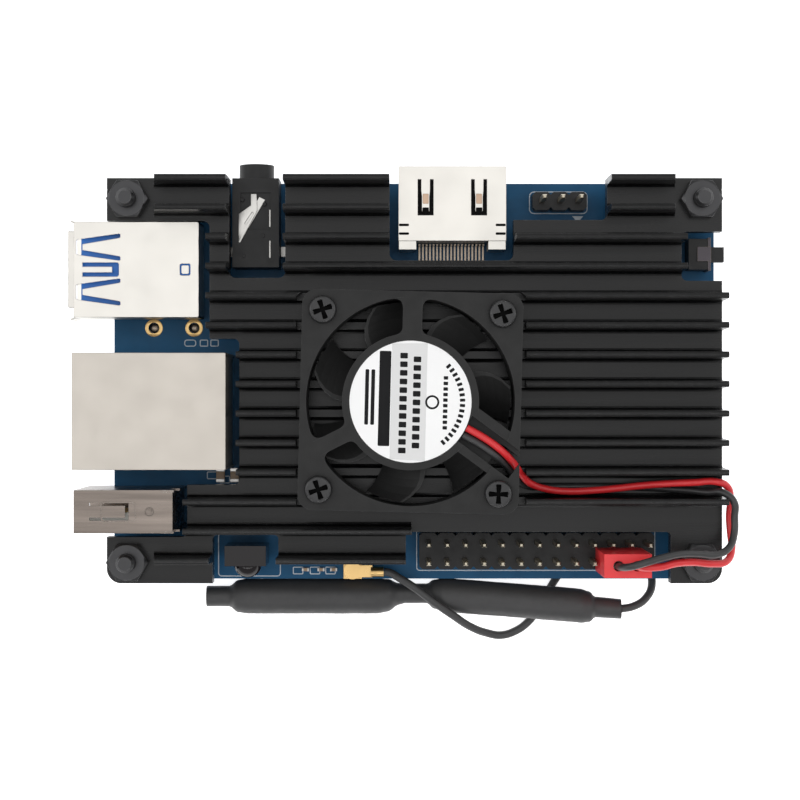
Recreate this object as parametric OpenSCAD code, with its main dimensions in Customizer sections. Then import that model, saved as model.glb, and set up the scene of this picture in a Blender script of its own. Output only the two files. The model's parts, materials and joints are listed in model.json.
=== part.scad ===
// Single board computer under a full-size finned heatsink, with a small fan,
// edge connectors, a push button, a pin header, an infrared receiver and a
// wire-fed dipole antenna that lies beside the board.
// Millimetres, +Z up. The bolt heads stand on z = 0 and the origin is the
// middle of the footprint of the board with its connectors.

/* [Board] */
// Length of the circuit board along X
board_l = 85; // [84:0.5:86]
// Width of the circuit board along Y
board_w = 56; // [55.5:0.5:57]
// Thickness of the circuit board
board_t = 1.6; // [1.2:0.2:1.6]
// Corner radius of the circuit board
board_r = 3; // [1:0.5:3]
// Distance between the corner holes along X
hole_pitch_x = 79; // [78:0.5:80]
// Distance between the corner holes along Y
hole_pitch_y = 50; // [49:0.5:51]

/* [Corner bolts] */
// Thread diameter of the corner bolts
bolt_d = 2.5; // [2.2:0.1:2.6]
// Diameter of the bolt heads that the board stands on
bolt_head_d = 5; // [4:0.1:5.5]
// Height of the bolt heads
bolt_head_h = 2.2; // [2.2:0.1:2.5]
// Overall length of the bolts with their heads
bolt_l = 14.6; // [14:0.1:16]
// Distance across the flats of the nuts
nut_flats = 5; // [4.5:0.1:5.5]
// Height of the nuts
nut_h = 2; // [1.6:0.1:2]

/* [Heatsink] */
// Gap between the board and the heatsink plate
sink_gap = 4.4; // [4.4:0.1:4.6]
// Thickness of the heatsink plate
sink_t = 2.5; // [2:0.1:2.6]
// Height of the fins above the plate
fin_h = 5.8; // [5:0.1:6.5]
// Distance from one fin to the next
fin_pitch = 4; // [3.8:0.1:4]
// Thickness of a fin at its tip
fin_tip_t = 0.8; // [0.6:0.1:1]
// Thickness of a fin above its root fillet
fin_root_t = 1.1; // [1:0.1:1.3]
// Number of fins across the plate
fin_count = 14; // [14:1:14]
// Height of the milled fins that the fan sits on
fan_seat_h = 2; // [2:0.1:3]

/* [Fan] */
// Side of the square fan frame
fan_size = 29.5; // [29:0.5:30]
// Thickness of the fan frame
fan_t = 7; // [7:0.5:8]
// Distance between the fan's screw holes
fan_hole_pitch = 24; // [23.5:0.1:24]
// Turn of the fan on the fins, in degrees
fan_turn = -1.4; // [-2:0.1:2]
// Diameter of the round duct through the frame
duct_d = 27.9; // [27.5:0.1:28]
// Number of blades
blade_count = 7; // [5:1:9]

/* [Connectors] */
// Height of the flat-lying double-speed socket above the board
usb3_h = 7; // [6:0.1:7.2]
// Height of the socket that stands on its side
usb2_h = 13.8; // [13:0.1:14]
// Height of the network socket
network_h = 13.4; // [13:0.1:14]
// Height of the video socket
video_h = 6.3; // [6:0.1:6.5]
// Diameter of the plug that the sound socket takes
sound_plug_d = 3.6; // [3.5:0.1:3.7]
// Distance between neighbouring header pins
pin_pitch = 2.54; // [2.54:0.01:2.54]
// Number of pin columns in the long header
header_columns = 13; // [13:1:13]
// Distance that the push button travels
button_travel = 0.3; // [0.2:0.05:0.3]

/* [Cords] */
// Diameter of the antenna cable
coax_d = 1.13; // [1:0.01:1.2]
// Diameter of each fan lead
lead_d = 1; // [0.8:0.05:1]
// Diameter of the thick shrink sleeves of the antenna
sleeve_d = 5.06; // [4.8:0.02:5.06]

/* [Hidden] */
$fn = 48;

cut = 1;                     // overshoot of cutting shapes past a face
sheet_t = 0.3;               // folded metal of the connector shells
half_l = board_l / 2;
half_w = board_w / 2;
board_z0 = bolt_head_h;
board_z1 = board_z0 + board_t;
sink_z0 = board_z1 + sink_gap;
sink_z1 = sink_z0 + sink_t;
fin_z1 = sink_z1 + fin_h;
fan_z0 = sink_z1 + fan_seat_h;
fan_x = -0.6;
fan_y = -2.9;
duct_r = duct_d / 2;
hub_r = 9.15;
label_r = 8.15;
rotor_r = 8.9;
blade_tip_r = duct_r - 0.4;
blade_turn = -5;
shaft_r = 0.75;
bearing_gap = 0.05;
bolt_r = bolt_d / 2;

// The footprint is measured over the flared lip of the flat socket, the button,
// the barrel of the sound socket and the front edge of the board.
usb3_lip_x = -47.8;
button_end_x = 43.5;
sound_end_y = 30.2;
frame_x = -(usb3_lip_x + button_end_x) / 2;
frame_y = -(sound_end_y - half_w) / 2;

// Connector outlines in the board's own coordinates
usb3_x0 = -47.1;
usb3_x1 = -29.8;
usb3_y0 = 8.75;
usb3_y1 = 21.95;
network_x0 = -46.25;
network_x1 = -25.5;
network_y0 = -12.1;
network_y1 = 3.7;
usb2_x0 = -45.9;
usb2_x1 = -32.6;
usb2_y0 = -20.6;
usb2_y1 = -14.8;
sound_x = -22.1;
sound_w = 6.5;
sound_y0 = 15.8;
sound_y1 = 28.2;
sound_h = 5;
video_x0 = -2.2;
video_x1 = 12.7;
video_y0 = 19.4;
video_y1 = 29.7;
header_x = 1.98;
header_y = [-25.16, -22.62];
header_base_h = 2.54;
header_pin_h = 8.5;
serial_x = 20.45;
serial_y = 25.3;
pin_w = 0.64;
pin_tail = 0.8;
button_y = 17.75;
button_z = board_z1 + 1.75;
infrared_x = -23.35;
infrared_y = -24.2;
antenna_x = -8.7;
antenna_y = -26.7;
plug_x = 28.65;
plug_y = -25.0;
plug_z0 = board_z1 + header_base_h;
plug_z1 = board_z1 + 14;

// Routes of the cords in the board's own coordinates
coax_route = [
    [-4.25, -26.9, 5.3], [-3.5, -27, 5.3], [-2.2, -27.7, 5.5], [0.2, -29.2, 5.7], [2.9, -31.2, 5.9],
    [5.5, -33.1, 4.9], [8, -34.9, 3], [10.4, -36, 1.4], [12.6, -36.4, 0.7],
    [14.6, -35.8, 0.6], [16.3, -34.6, 0.6], [17.7, -32.8, 0.6], [19, -30.6, 0.6],
    [20.3, -28.4, 0.6], [22, -26.3, 0.6], [24.2, -24.7, 0.6], [26.8, -23.9, 0.6],
    [29.5, -24, 0.6], [31.9, -25, 0.6], [33.6, -26.8, 0.8], [34, -29, 1.7],
    [32.9, -30.9, 3.1], [31, -31.9, 4.2], [29.2, -32.2, 4.6]
];
red_route = [
    [6.9, -6.4, 18.9], [9.2, -7.7, 19], [11.2, -9.1, 18.9], [12.7, -10.5, 17.8],
    [13.7, -11.7, 16.2], [14.5, -12.8, 14.8], [15.9, -14.1, 13.5], [18.2, -14.9, 12.8],
    [21, -15.2, 12.5], [24.2, -15.1, 12.5], [27.6, -14.8, 12.6], [31, -14.4, 13],
    [34.6, -14.1, 13.6], [38.2, -13.9, 14.1], [41.1, -13.8, 14.2], [42.7, -14.5, 13.6],
    [43.3, -16.2, 12.7], [43.3, -18.6, 11.9], [43.4, -21, 12.2], [43.4, -23, 13.2],
    [42.4, -24.6, 14.8], [40.2, -24.8, 16.2], [37.6, -24.5, 17.5], [35, -24.5, 19],
    [32.6, -24.9, 20.1], [30.7, -25, 19.9], [29.9, -25, 18.6], [29.9, -25, 16.9]
];
black_route = [
    [6.4, -7.4, 18.9], [8.6, -8.6, 18.9], [10.6, -10, 18.6], [12.1, -11.3, 17],
    [13, -12.4, 15.1], [13.9, -13.5, 13.5], [15.6, -14.5, 12.2], [18, -14.6, 11.5],
    [21.2, -14.6, 11.4], [24.6, -14.6, 11.4], [28, -14.6, 11.4], [31.4, -14.7, 11.5],
    [34.8, -14.9, 11.7], [37.8, -15.1, 12.3], [40, -15.3, 13.5], [42, -15.3, 14.9],
    [43.3, -16.5, 15.4], [43.5, -18.6, 14.8], [43.4, -20.8, 15], [42.6, -22.6, 15.9],
    [40.7, -23.5, 17], [38.2, -23.3, 18.2], [35.6, -23.2, 19.5], [33, -23.6, 20.7],
    [30.6, -24.2, 21.4], [28.6, -24.8, 20.9], [27.5, -25, 19.2], [27.4, -25, 16.9]
];
// Axis points and radii of the antenna's shrink sleeves
sleeve_r = sleeve_d / 2;
sleeve_axis = [
    [-29.5, -30.6, 2.55], [-26.3, -30.6, 2.55], [-25, -30.6, 2.55], [-23.8, -30.6, 2.55],
    [-5.2, -30.6, 2.55], [-3.7, -30.5, 2.55], [-2.2, -30.3, 2.6], [-1.2, -30.2, 2.65],
    [1.8, -30.2, 2.7], [2.8, -30.3, 2.75], [4.2, -30.4, 2.85], [13, -31, 3.5],
    [23.6, -31.8, 4.25], [24.8, -31.9, 4.3], [25.6, -31.95, 4.4], [29.2, -32.2, 4.6]
];
sleeve_radii = [
    1.5, 1.5, 2.35, sleeve_r, sleeve_r, 2.35, 1.6, 1.43,
    1.43, 2.1, 2.45, 2.45, 2.45, 2.2, 1.5, 1.45
];

// ---- Helpers ----

// Moves a shape from the board's own coordinates into the part's frame
module in_frame() translate([frame_x, frame_y, 0]) children();

// Moves a shape from the fan's own coordinates, centred on its underside
module in_fan() in_frame() translate([fan_x, fan_y, fan_z0]) rotate(fan_turn) children();

module rect(x0, y0, x1, y1) translate([x0, y0]) square([x1 - x0, y1 - y0]);

module box(x0, y0, z0, x1, y1, z1) translate([x0, y0, z0]) cube([x1 - x0, y1 - y0, z1 - z0]);

module round_rect(x0, y0, x1, y1, r) {
    rect(x0 + r, y0, x1 - r, y1);
    rect(x0, y0 + r, x1, y1 - r);
    for (x = [x0 + r, x1 - r], y = [y0 + r, y1 - r])
        translate([x, y]) circle(r, $fn = 24);
}

module slab(z0, z1) translate([0, 0, z0]) linear_extrude(z1 - z0) children();

// Extrudes an outline drawn as (y, z) along X
module along_x(x0, x1) translate([x0, 0, 0]) rotate([90, 0, 90]) linear_extrude(x1 - x0) children();

// Extrudes an outline drawn as (x, z) along Y
module along_y(y0, y1) translate([0, y1, 0]) rotate([90, 0, 0]) linear_extrude(y1 - y0) children();

module at_holes()
    for (sx = [-1, 1], sy = [-1, 1])
        translate([sx * hole_pitch_x / 2, sy * hole_pitch_y / 2, 0]) children();

module at_header_pins(columns = [0:header_columns - 1])
    for (n = columns, y = header_y)
        translate([header_x + n * pin_pitch, y, 0]) children();

module at_serial_pins()
    for (n = [-1:1]) translate([serial_x + n * pin_pitch, serial_y, 0]) children();

module at_infrared_leads()
    for (n = [-1:1]) translate([infrared_x + n * 2, infrared_y, 0]) children();

module at_fan_screws()
    for (sx = [-1, 1], sy = [-1, 1])
        translate([sx * fan_hole_pitch / 2, sy * fan_hole_pitch / 2, 0]) children();

// A square pin with a tapered tip
module square_pin(z0, z1) {
    tip = 0.35;
    translate([-pin_w / 2, -pin_w / 2, z0]) cube([pin_w, pin_w, z1 - tip - z0]);
    translate([0, 0, z1 - tip]) rotate(45)
        cylinder(h = tip, r1 = pin_w / sqrt(2), r2 = pin_w / sqrt(2) * 0.5, $fn = 4);
}

// A tube swept along points, as rings square to the route
function unit(v) = v / norm(v);
function heading(p, i) = unit(p[min(i + 1, len(p) - 1)] - p[max(i - 1, 0)]);
function ring(c, t, r, sides, ref) =
    let (u = unit(cross(t, ref)), v = cross(t, u))
    [for (k = [0:sides - 1]) c + r * (cos(360 * k / sides) * u + sin(360 * k / sides) * v)];

module swept_tube(p, radii, sides = 8, ref = [0, 0, 1]) {
    count = len(p);
    points = [for (i = [0:count - 1]) each ring(p[i], heading(p, i), radii[i], sides, ref)];
    walls = [
        for (i = [0:count - 2], k = [0:sides - 1])
            let (a = i * sides + k, b = i * sides + (k + 1) % sides) each
                [[a, a + sides, b], [b, a + sides, b + sides]]
    ];
    ends = [
        [for (k = [0:sides - 1]) k],
        [for (k = [sides - 1:-1:0]) (count - 1) * sides + k]
    ];
    polyhedron(points, concat(walls, ends));
}

module cord(p, d, ref) swept_tube(p, [for (q = p) d / 2], 8, ref);

// ---- Circuit board and its chips ----

module circuit_board() color("#1f4c73") in_frame() difference() {
    slab(board_z0, board_z1) round_rect(-half_l, -half_w, half_l, half_w, board_r);
    at_holes() translate([0, 0, board_z0 - cut]) cylinder(h = board_t + 2 * cut, r = 1.45);
    at_header_pins() translate([0, 0, board_z0 - cut]) cylinder(h = board_t + 2 * cut, r = 0.5, $fn = 16);
    at_serial_pins() translate([0, 0, board_z0 - cut]) cylinder(h = board_t + 2 * cut, r = 0.5, $fn = 16);
    at_infrared_leads() translate([0, 0, board_z0 - cut]) cylinder(h = board_t + 2 * cut, r = 0.45, $fn = 16);
    for (x = [-36.9, -31.2]) translate([x, 7.55, board_z0 - cut]) cylinder(h = board_t + 2 * cut, r = 0.75);
}

// A flat chip standing on the board
module chip(x, y, l, w, h) translate([x - l / 2, y - w / 2, board_z1]) cube([l, w, h]);

module small_parts() color("#b08d6a") in_frame() {
    for (y = [-6:2:10]) chip(-11.8, y, 1, 0.5, 0.5);
    for (x = [-8:2:4]) chip(x, 11.4, 0.5, 1, 0.5);
    for (x = [22:1.6:30]) chip(x, -1.6, 0.8, 1.6, 0.8);
    for (x = [22:2:34]) chip(x, -12, 1, 0.5, 0.5);
    for (x = [-27.4, -25.4]) chip(x, -13.3, 1.2, 2, 0.9);
    for (x = [-27.2:1.5:-21]) chip(x, 7.6, 0.8, 0.4, 0.35);
    for (x = [-15.4, -13.2, -11.4]) chip(x, -26.7, 1, 0.5, 0.4);
    for (y = [23.4, 25.2, 27]) chip(-27.2, y, 0.5, 1, 0.4);
    chip(-14.3, 26, 1, 1.8, 0.6);
    chip(29.8, 18, 1.6, 0.8, 0.6);
}

module main_chip() color("#30343a") in_frame() chip(-2, 2, 15, 15, 1.2);

module memory_chips() color("#26282b") in_frame() for (y = [7, -5]) chip(14, y, 10, 11, 0.9);

module storage_chip() color("#26282b") in_frame() chip(0, -13.5, 13, 11.5, 1);

module power_chip() color("#26282b") in_frame() chip(26, 5, 7, 7, 0.9);

module network_chip() color("#26282b") in_frame() chip(-19, -2, 7, 7, 0.9);

module wireless_module() color("#b9bcc0") in_frame() chip(-14.4, -15, 12, 12, 1.6);

module power_coils() color("#3c3d40") in_frame()
    for (x = [23.5, 29], y = [11.5, -6.5]) chip(x, y, 4, 4, 2);

module clock_crystal() color("#c9c9c6") in_frame() chip(-14.5, 5, 3.2, 2.5, 0.8);

module thermal_pads() color("#8f9aa3") in_frame() {
    slab(board_z1 + 1.2, board_z1 + 2) rect(-8.5, -4.5, 4.5, 8.5);
    for (y = [7, -5]) slab(board_z1 + 0.9, board_z1 + 2) rect(10, y - 4.5, 18, y + 4.5);
}

// ---- Heatsink ----

// Section of one fin as (y, z) from its root, with root fillets and a crowned tip
module fin_section() {
    fillet = 0.45;
    crown = 0.2;
    root = [for (a = [0:30:90]) [fin_root_t / 2 + fillet * (1 - sin(a)), fillet * (1 - cos(a))]];
    tip = [for (s = [1:-0.5:-1]) [s * fin_tip_t / 2, fin_h - crown * s * s]];
    mirrored = [for (i = [len(root) - 1:-1:0]) [-root[i][0], root[i][1]]];
    polygon(concat(
        [[fin_root_t / 2 + fillet, -0.4]], root, tip, mirrored, [[-fin_root_t / 2 - fillet, -0.4]]
    ));
}

// Openings milled right through the plate for the connectors
module sink_openings() {
    round_rect(-60, 4.6, -28.3, 22.1, 1);
    round_rect(-60, -14.4, -24.2, 5.8, 0.8);
    round_rect(-60, -21.6, -31.4, -13.4, 0.8);
    round_rect(-25.6, 14.2, -17.85, 40, 0.9);
    round_rect(-3.45, 16.6, 13.7, 40, 1);
    round_rect(12, 22.2, 26.6, 40, 0.8);
    round_rect(36.9, 13.8, 60, 20.6, 0.8);
    round_rect(-1.2, -40, 35.4, -20.9, 0.6);
    rect(-20, -40, 0, -25);
    round_rect(-27.9, -40, -18.8, -21.3, 0.6);
}

// A corner pad: the fins are milled off down to the plate, with a sloping end
module corner_pad(x_in, y0, y1, side) {
    slope = 0.9;
    along_y(y0, y1) polygon([
        [x_in, sink_z1], [x_in - side * slope, fin_z1 + cut],
        [side * 60, fin_z1 + cut], [side * 60, sink_z1]
    ]);
}

module fan_seat() {
    x0 = -16.1;
    x1 = 15.1;
    y0 = -18.7;
    y1 = 12.4;
    bevel = 1.1;
    polygon([
        [x0 + bevel, y0], [x1 - bevel, y0], [x1, y0 + bevel], [x1, y1 - bevel],
        [x1 - bevel, y1], [x0 + bevel, y1], [x0, y1 - bevel], [x0, y0 + bevel]
    ]);
}

module heatsink() color("#303030") in_frame() difference() {
    union() {
        slab(sink_z0, sink_z1) round_rect(-half_l, -half_w, half_l, half_w, 2);
        for (k = [0:fin_count - 1])
            translate([0, half_w - 0.5 - k * fin_pitch, sink_z1]) along_x(-half_l, half_l) fin_section();
        slab(board_z1 + 2, sink_z0 + 0.2) rect(-8.5, -4.5, 4.5, 8.5);
        for (y = [7, -5]) slab(board_z1 + 2, sink_z0 + 0.2) rect(10, y - 4.5, 18, y + 4.5);
    }
    slab(sink_z0 - cut, fin_z1 + cut) sink_openings();
    slab(sink_z0 - cut, fin_z1 + cut) rect(-60, half_w, 60, 40);
    corner_pad(-36, 20, 30, -1);
    corner_pad(-36, -30, -21, -1);
    corner_pad(36, 20, 30, 1);
    corner_pad(36, -30, -20, 1);
    slab(sink_z1, fin_z1 + cut) rect(-0.4, -22, 60, -19);
    slab(fan_z0, fin_z1 + cut) fan_seat();
    at_holes() translate([0, 0, sink_z0 - cut]) cylinder(h = sink_t + 2 * cut, r = bolt_r + 0.15);
}

// ---- Corner fasteners ----

module corner_bolts() color("#4a4a4a") in_frame() at_holes() difference() {
    head_r = bolt_head_d / 2;
    shank_r = bolt_r - 0.2;  // thread core below the top of the nut
    nut_z1 = sink_z1 + nut_h;
    rotate_extrude() polygon([
        [0, 0], [head_r - 0.5, 0], [head_r, 0.5], [head_r, bolt_head_h], [shank_r, bolt_head_h],
        [shank_r, nut_z1], [bolt_r, nut_z1], [bolt_r, bolt_l - 0.35], [bolt_r - 0.35, bolt_l], [0, bolt_l]
    ]);
    for (a = [0, 90]) rotate(a) box(-1.4, -0.35, -cut, 1.4, 0.35, 0.9);
}

module corner_nuts() color("#4a4a4a") in_frame() at_holes() translate([0, 0, sink_z1])
    difference() {
        intersection() {
            cylinder(h = nut_h, r = nut_flats / sqrt(3), $fn = 6);
            rotate_extrude() polygon([
                [0, 0], [nut_flats / 2 + 0.1, 0], [nut_flats / sqrt(3), 0.3],
                [nut_flats / sqrt(3), nut_h - 0.3], [nut_flats / 2 - 0.1, nut_h], [0, nut_h]
            ]);
        }
        translate([0, 0, -cut]) cylinder(h = nut_h + 2 * cut, r = bolt_r + 0.02);
    }

module corner_spacers() color("#a0a3a6") in_frame() at_holes() translate([0, 0, board_z1])
    difference() {
        cylinder(h = sink_gap, r = 2.25);
        translate([0, 0, -cut]) cylinder(h = sink_gap + 2 * cut, r = bolt_r + 0.1);
    }

// ---- Flat-lying socket ----

module usb3_shell() color("#e3dfd8") in_frame() {
    z1 = board_z1 + usb3_h;
    y_mid = (usb3_y0 + usb3_y1) / 2;
    difference() {
        box(usb3_x0, usb3_y0, board_z1, usb3_x1, usb3_y1, z1);
        box(usb3_x0 - cut, usb3_y0 + sheet_t, board_z1 + 0.9, usb3_x1 - sheet_t, usb3_y1 - sheet_t, z1 - sheet_t);
        box(usb3_x0 - cut, usb3_y0 + 1.2, board_z1 - cut, usb3_x1 - 4, usb3_y1 - 1.2, board_z1 + 0.6);
        for (s = [-1, 1]) {
            box(usb3_x0 + 1.2, y_mid + s * 3.4 - 1.1, z1 - cut, usb3_x0 + 7.4, y_mid + s * 3.4 + 1.1, z1 + cut);
            box(usb3_x0 + 2.5, y_mid - s * 8, board_z1 + 3, usb3_x0 + 8, y_mid - s * 6, board_z1 + 5);
        }
        box(usb3_x0 + 1.2, y_mid - 0.9, z1 - cut, usb3_x0 + 3.4, y_mid + 0.9, z1 + cut);
        box(usb3_x0 + 14.2, y_mid - 0.8, z1 - cut, usb3_x0 + 15.6, y_mid + 0.8, z1 + cut);
    }
    for (s = [-1, 1])
        along_x(usb3_lip_x, usb3_x0)
            translate([y_mid + s * (usb3_y1 - usb3_y0) / 2 - (s > 0 ? 0 : 0.3), board_z1 + 1.5]) square([0.3, 4]);
    for (z = [board_z1 + 0.6, z1])
        box(usb3_lip_x, usb3_y0 + 1.4, z, usb3_x0, usb3_y1 - 1.4, z + 0.3);
    for (s = [-1, 1])
        box(usb3_x0, y_mid + s * (usb3_y1 - usb3_y0) / 2 - 0.15, board_z1 + 1.5,
            usb3_x0 + 0.3, y_mid + s * (usb3_y1 - usb3_y0) / 2 + 0.15, board_z1 + 5.5);
    for (z = [board_z1 + 0.6, z1 - 0.1])
        box(usb3_x0, usb3_y0 + 1.4, z, usb3_x0 + 0.3, usb3_y1 - 1.4, z + 0.3);
}

module usb3_insulator() color("#2a72c4") in_frame() {
    z1 = board_z1 + usb3_h;
    box(usb3_x1 - 6, usb3_y0 + 0.35, board_z1 + 0.95, usb3_x1 - 0.35, usb3_y1 - 0.35, z1 - 0.35);
    box(usb3_x0 + 0.9, usb3_y0 + 1.5, z1 - 2.9, usb3_x1 - 6, usb3_y1 - 1.5, z1 - 1.1);
}

module usb3_contacts() color("#c9a24e") in_frame() {
    z = board_z1 + usb3_h - 2.9;
    y_mid = (usb3_y0 + usb3_y1) / 2;
    for (y = [-3.5, -1, 1, 3.5]) box(usb3_x0 + 1.3, y_mid + y - 0.5, z - 0.15, usb3_x0 + 6, y_mid + y + 0.5, z);
    for (n = [-2:2]) box(usb3_x0 + 6.8, y_mid + 2 * n - 0.3, z - 0.2, usb3_x0 + 9.5, y_mid + 2 * n + 0.3, z);
}

// ---- Network socket ----

module network_shell() color("#d2ccc2") in_frame() difference() {
    z1 = board_z1 + network_h;
    y_mid = (network_y0 + network_y1) / 2;
    box(network_x0, network_y0, board_z1, network_x1, network_y1, z1);
    box(network_x0 - cut, network_y0 + sheet_t, board_z1 - cut, network_x1 - sheet_t, network_y1 - sheet_t, z1 - sheet_t);
    for (s = [-1, 1])
        box(network_x1 - 2.6, y_mid + s * 4.2 - 1.6, z1 - cut, network_x1 - 2.1, y_mid + s * 4.2 + 1.6, z1 + cut);
}

// The plug cavity of the network socket, with the step for the plug's latch on top
module network_cavity() {
    y_mid = (network_y0 + network_y1) / 2;
    box(network_x0 - cut, y_mid - 5.9, board_z1 + 2.2, network_x0 + 13, y_mid + 5.9, board_z1 + 9.2);
    box(network_x0 - cut, y_mid - 3.2, board_z1 + 9.1, network_x0 + 10, y_mid + 3.2, board_z1 + 11.4);
}

module network_housing() color("#242426") in_frame() difference() {
    gap = sheet_t + 0.05;
    y_mid = (network_y0 + network_y1) / 2;
    box(network_x0 + 0.3, network_y0 + gap, board_z1 + 0.1, network_x1 - gap, network_y1 - gap, board_z1 + network_h - gap);
    network_cavity();
    for (s = [-1, 1])
        box(network_x0 - cut, y_mid + s * 5.4 - 1.4, board_z1 + 9.9, network_x0 + 5, y_mid + s * 5.4 + 1.4, board_z1 + 11.9);
}

module network_contacts() color("#c9a24e") in_frame()
    for (n = [0:7]) {
        y = (network_y0 + network_y1) / 2 + (n - 3.5) * 1.02;
        along_y(y - 0.2, y + 0.2) polygon([
            [network_x0 + 12.95, board_z1 + 4.1], [network_x0 + 12.95, board_z1 + 4.4],
            [network_x0 + 6.5, board_z1 + 2.7], [network_x0 + 6.6, board_z1 + 2.4]
        ]);
    }

module network_lamps() color("#b8d05a") in_frame()
    for (s = [-1, 1]) {
        y = (network_y0 + network_y1) / 2 + s * 5.4;
        box(network_x0 + 0.4, y - 1.35, board_z1 + 9.95, network_x0 + 4.95, y + 1.35, board_z1 + 11.85);
    }

// ---- Socket that stands on its side ----

module usb2_shell() color("#b9ab97") in_frame() {
    z1 = board_z1 + usb2_h;
    y_mid = (usb2_y0 + usb2_y1) / 2;
    difference() {
        box(usb2_x0, usb2_y0, board_z1, usb2_x1, usb2_y1, z1);
        box(usb2_x0 - cut, usb2_y0 + sheet_t, board_z1 + 0.6, usb2_x1 - sheet_t, usb2_y1 - sheet_t, z1 - sheet_t);
        difference() {
            box(usb2_x0 + 2.1, y_mid - 1.2, z1 - cut, usb2_x0 + 7.4, y_mid + 1.2, z1 + cut);
            box(usb2_x0 + 1.9, y_mid - 0.8, z1 - 2 * cut, usb2_x0 + 6.9, y_mid + 0.8, z1 + 2 * cut);
        }
    }
    for (s = [-1, 1])
        box(usb2_x1 - 0.6, y_mid + s * 2.8 - 0.15, board_z1, usb2_x1 + 0.5, y_mid + s * 2.8 + 0.15, z1 - 4);
}

module usb2_insulator() color("#e9e7e0") in_frame() {
    z1 = board_z1 + usb2_h;
    box(usb2_x1 - 4.5, usb2_y0 + 0.35, board_z1 + 0.65, usb2_x1 - 0.35, usb2_y1 - 0.35, z1 - 0.35);
    box(usb2_x0 + 0.9, usb2_y0 + 0.9, board_z1 + 2, usb2_x1 - 4.5, usb2_y0 + 2.7, z1 - 1.4);
}

module usb2_contacts() color("#c9a24e") in_frame()
    for (n = [-3.5, -1, 1, 3.5]) {
        z = board_z1 + usb2_h / 2 + 0.3 + n;
        box(usb2_x0 + 1.5, usb2_y0 + 2.7, z - 0.5, usb2_x1 - 4.6, usb2_y0 + 2.85, z + 0.5);
    }

// ---- Sound socket ----

module sound_socket_body() color("#202020") in_frame() difference() {
    z_mid = board_z1 + sound_h / 2;
    union() {
        box(sound_x - sound_w / 2, sound_y0, board_z1, sound_x + sound_w / 2, sound_y1, board_z1 + sound_h);
        translate([sound_x, sound_end_y, z_mid]) rotate([90, 0, 0])
            cylinder(h = sound_end_y - sound_y1 + cut, r = 2.42);
    }
    translate([sound_x, sound_end_y + cut, z_mid]) rotate([90, 0, 0])
        cylinder(h = sound_end_y - sound_y0 - 1.2 + cut, r = sound_plug_d / 2);
    box(sound_x - 2.1, sound_y0 + 5.2, board_z1 + sound_h - 0.35, sound_x + 2.1, sound_y0 + 10.4, board_z1 + sound_h + cut);
    for (s = [-1, 1])
        box(sound_x + s * sound_w / 2 - 0.3, sound_y0 + 1.5, board_z1 + 0.6,
            sound_x + s * sound_w / 2 + 0.3, sound_y0 + 4.5, board_z1 + 2.4);
}

module sound_socket_contacts() color("#c8c8c4") in_frame() {
    z = board_z1 + sound_h - 0.35;
    slab(z, z + 0.2) polygon([
        [sound_x - 1.9, sound_y0 + 5.5], [sound_x - 1, sound_y0 + 5.5],
        [sound_x + 1.3, sound_y0 + 9.4], [sound_x + 0.5, sound_y0 + 9.8]
    ]);
    for (s = [-1, 1]) {
        x = sound_x + s * sound_w / 2;
        box(min(x, x + s * 0.9), sound_y0 + 1.8, board_z1 + 0.05, max(x, x + s * 0.9), sound_y0 + 3.2, board_z1 + 0.55);
    }
}

// ---- Video socket ----

// Mouth of the video socket as (x, z), wider at the top
module video_mouth(inset) {
    x_mid = (video_x0 + video_x1) / 2;
    half = (video_x1 - video_x0) / 2 - inset;
    z0 = board_z1 + 0.6 + inset;
    z1 = board_z1 + video_h - inset;
    polygon([
        [x_mid - half, z1], [x_mid - half, z0 + 1.5], [x_mid - half + 1.4, z0],
        [x_mid + half - 1.4, z0], [x_mid + half, z0 + 1.5], [x_mid + half, z1]
    ]);
}

module video_shell() color("#e6e1d9") in_frame() {
    z1 = board_z1 + video_h;
    x_mid = (video_x0 + video_x1) / 2;
    difference() {
        union() {
            along_y(video_y0, video_y1) video_mouth(0);
            for (s = [-1, 1])
                box(x_mid + s * 6.2 - 1.2, video_y0 - 1.2, board_z1 + 1, x_mid + s * 6.2 + 1.2, video_y0 + 0.4, z1 - 0.3);
            for (s = [-1, 1], y = [video_y0 + 1.4, video_y0 + 6.6])
                box(x_mid + s * 7.3 - 0.15, y, board_z1, x_mid + s * 7.3 + 0.15, y + 1.6, board_z1 + 3);
        }
        along_y(video_y0 + 0.5, video_y1 + cut) video_mouth(sheet_t);
        for (s = [-1, 1]) difference() {
            box(x_mid + s * 3.7 - 1.1, video_y1 - 6.8, z1 - cut, x_mid + s * 3.7 + 1.1, video_y1 - 1.8, z1 + cut);
            box(x_mid + s * 3.7 - 0.6, video_y1 - 6.2, z1 - 2 * cut, x_mid + s * 3.7 + 0.6, video_y1 - 1.4, z1 + 2 * cut);
        }
    }
}

module video_insulator() color("#1d1d1f") in_frame() {
    x_mid = (video_x0 + video_x1) / 2;
    along_y(video_y0 + 0.55, video_y0 + 3.5) video_mouth(sheet_t + 0.05);
    box(x_mid - 5.6, video_y0 + 3.4, board_z1 + 3.2, x_mid + 5.6, video_y1 - 1, board_z1 + 4.4);
}

module video_contacts() color("#d8b25c") in_frame()
    for (n = [0:18]) {
        x = (video_x0 + video_x1) / 2 + (n - 9) * 0.5;
        box(x - 0.13, video_y0 - 2.3, board_z1, x + 0.13, video_y0 - 0.1, board_z1 + 0.2);
        box(x - 0.13, video_y0 - 0.3, board_z1 + 0.2, x + 0.13, video_y0 - 0.1, board_z1 + 1.6);
    }

// ---- Pin headers ----

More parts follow.
